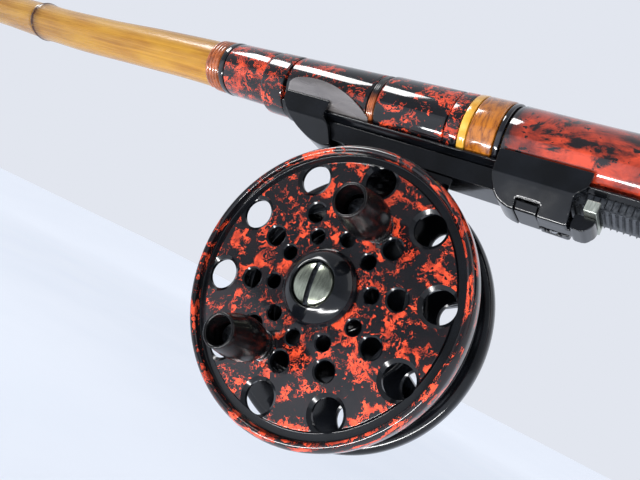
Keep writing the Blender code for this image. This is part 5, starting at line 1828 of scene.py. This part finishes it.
class RAFTROD_OT_stage(bpy.types.Operator):
    """Lay the pale floor, and set the soft lights and the camera"""

    bl_idname = "raft_rod.stage"
    bl_label = "Stage"

    def execute(self, context):
        self.floor()
        self.world()
        self.lights()
        self.camera()
        context.scene.view_settings.view_transform = "Standard"
        return {"FINISHED"}

    def floor(self):
        """A wide pale floor below the reel."""
        mesh = bmesh.new()
        bmesh.ops.create_grid(mesh, x_segments=1, y_segments=1, size=12.0)
        bmesh.ops.translate(mesh, vec=(0, 0, FLOOR_Z), verts=mesh.verts)
        add("floor", mesh, pale_floor)

    def world(self):
        """An even pale room, a little dimmer in front of the reel's face."""
        world = bpy.data.worlds.new("pale_room")
        bpy.context.scene.world = world
        world.use_nodes = True
        tree = world.node_tree
        tree.nodes.clear()
        way = add_node(tree, "ShaderNodeTexCoord", out="Generated")
        depth = add_node(tree, "ShaderNodeSeparateXYZ", {0: way}, "Y")
        share = add_node(tree, "ShaderNodeMapRange", {"Value": depth, "From Min": -0.9, "From Max": 0.2})
        tone = layered(tree, linear("#8E939C"), (share, linear("#E2E6EF")))
        light = add_node(tree, "ShaderNodeBackground", {"Color": tone, "Strength": 1.0})
        add_node(tree, "ShaderNodeOutputWorld", {"Surface": light})

    def lights(self):
        """A large soft light high in front, a low strip in front, and a weak light from the butt."""
        sizes = bpy.context.scene.raft_rod_sizes
        lamps = (
            ("key", (-1.25, -1.02, 1.24), (-0.03, 0, -0.02), (0.92, 0.52), sizes.key_power),
            ("strip", (0.10, -0.172, -0.221), (0.09, 0, 0), (0.42, 0.02), sizes.strip_power),
            ("fill", (1.5, -0.20, 1.5), (0, 0, -0.03), (1.8, 1.8), sizes.fill_power),
        )
        for name, place, aim, size, power in lamps:
            lamp = bpy.data.lights.new(name, "AREA")
            lamp.shape = "RECTANGLE"
            lamp.size, lamp.size_y = size
            lamp.energy = power
            obj = bpy.data.objects.new(name, lamp)
            obj.location = place
            obj.rotation_euler = (Vector(aim) - Vector(place)).to_track_quat("-Z", "Y").to_euler()
            obj.visible_camera = False
            bpy.context.scene.collection.objects.link(obj)

    def camera(self):
        """The camera, close in front of the reel and rolled to its right."""
        data = bpy.data.cameras.new("camera")
        data.lens = CAMERA_LENS
        data.sensor_width = 36.0
        data.clip_start = MM
        obj = bpy.data.objects.new("camera", data)
        obj.location = CAMERA_PLACE
        obj.rotation_mode = "QUATERNION"
        level = (CAMERA_AIM - CAMERA_PLACE).to_track_quat("-Z", "Y")
        obj.rotation_quaternion = level @ Quaternion((0, 0, 1), CAMERA_ROLL)
        bpy.context.scene.collection.objects.link(obj)
        bpy.context.scene.camera = obj


STEPS = (
    RAFTROD_OT_blanks,
    RAFTROD_OT_grip,
    RAFTROD_OT_windings,
    RAFTROD_OT_guides,
    RAFTROD_OT_seat,
    RAFTROD_OT_hoods,
    RAFTROD_OT_frame,
    RAFTROD_OT_spool,
    RAFTROD_OT_knobs,
    RAFTROD_OT_stage,
)


class RAFTROD_PT_panel(bpy.types.Panel):
    """Buttons for each group of pieces"""

    bl_idname = "RAFTROD_PT_panel"
    bl_label = "Raft rod"
    bl_space_type = "VIEW_3D"
    bl_region_type = "UI"
    bl_category = "Raft rod"

    def draw(self, context):
        for step in STEPS:
            self.layout.operator(step.bl_idname)
        for group in (context.scene.raft_rod_finish, context.scene.raft_rod_sizes):
            for name in group.__annotations__:
                self.layout.prop(group, name)


CLASSES = (RaftRodFinish, RaftRodSizes, *STEPS, RAFTROD_PT_panel)


def register():
    for kind in CLASSES:
        bpy.utils.register_class(kind)
    bpy.types.Scene.raft_rod_finish = PointerProperty(type=RaftRodFinish)
    bpy.types.Scene.raft_rod_sizes = PointerProperty(type=RaftRodSizes)


def unregister():
    del bpy.types.Scene.raft_rod_finish
    del bpy.types.Scene.raft_rod_sizes
    for kind in reversed(CLASSES):
        bpy.utils.unregister_class(kind)


def main():
    """Register the add-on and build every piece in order."""
    register()
    for step in STEPS:
        group, name = step.bl_idname.split(".")
        getattr(getattr(bpy.ops, group), name)()


if __name__ == "__main__":
    main()
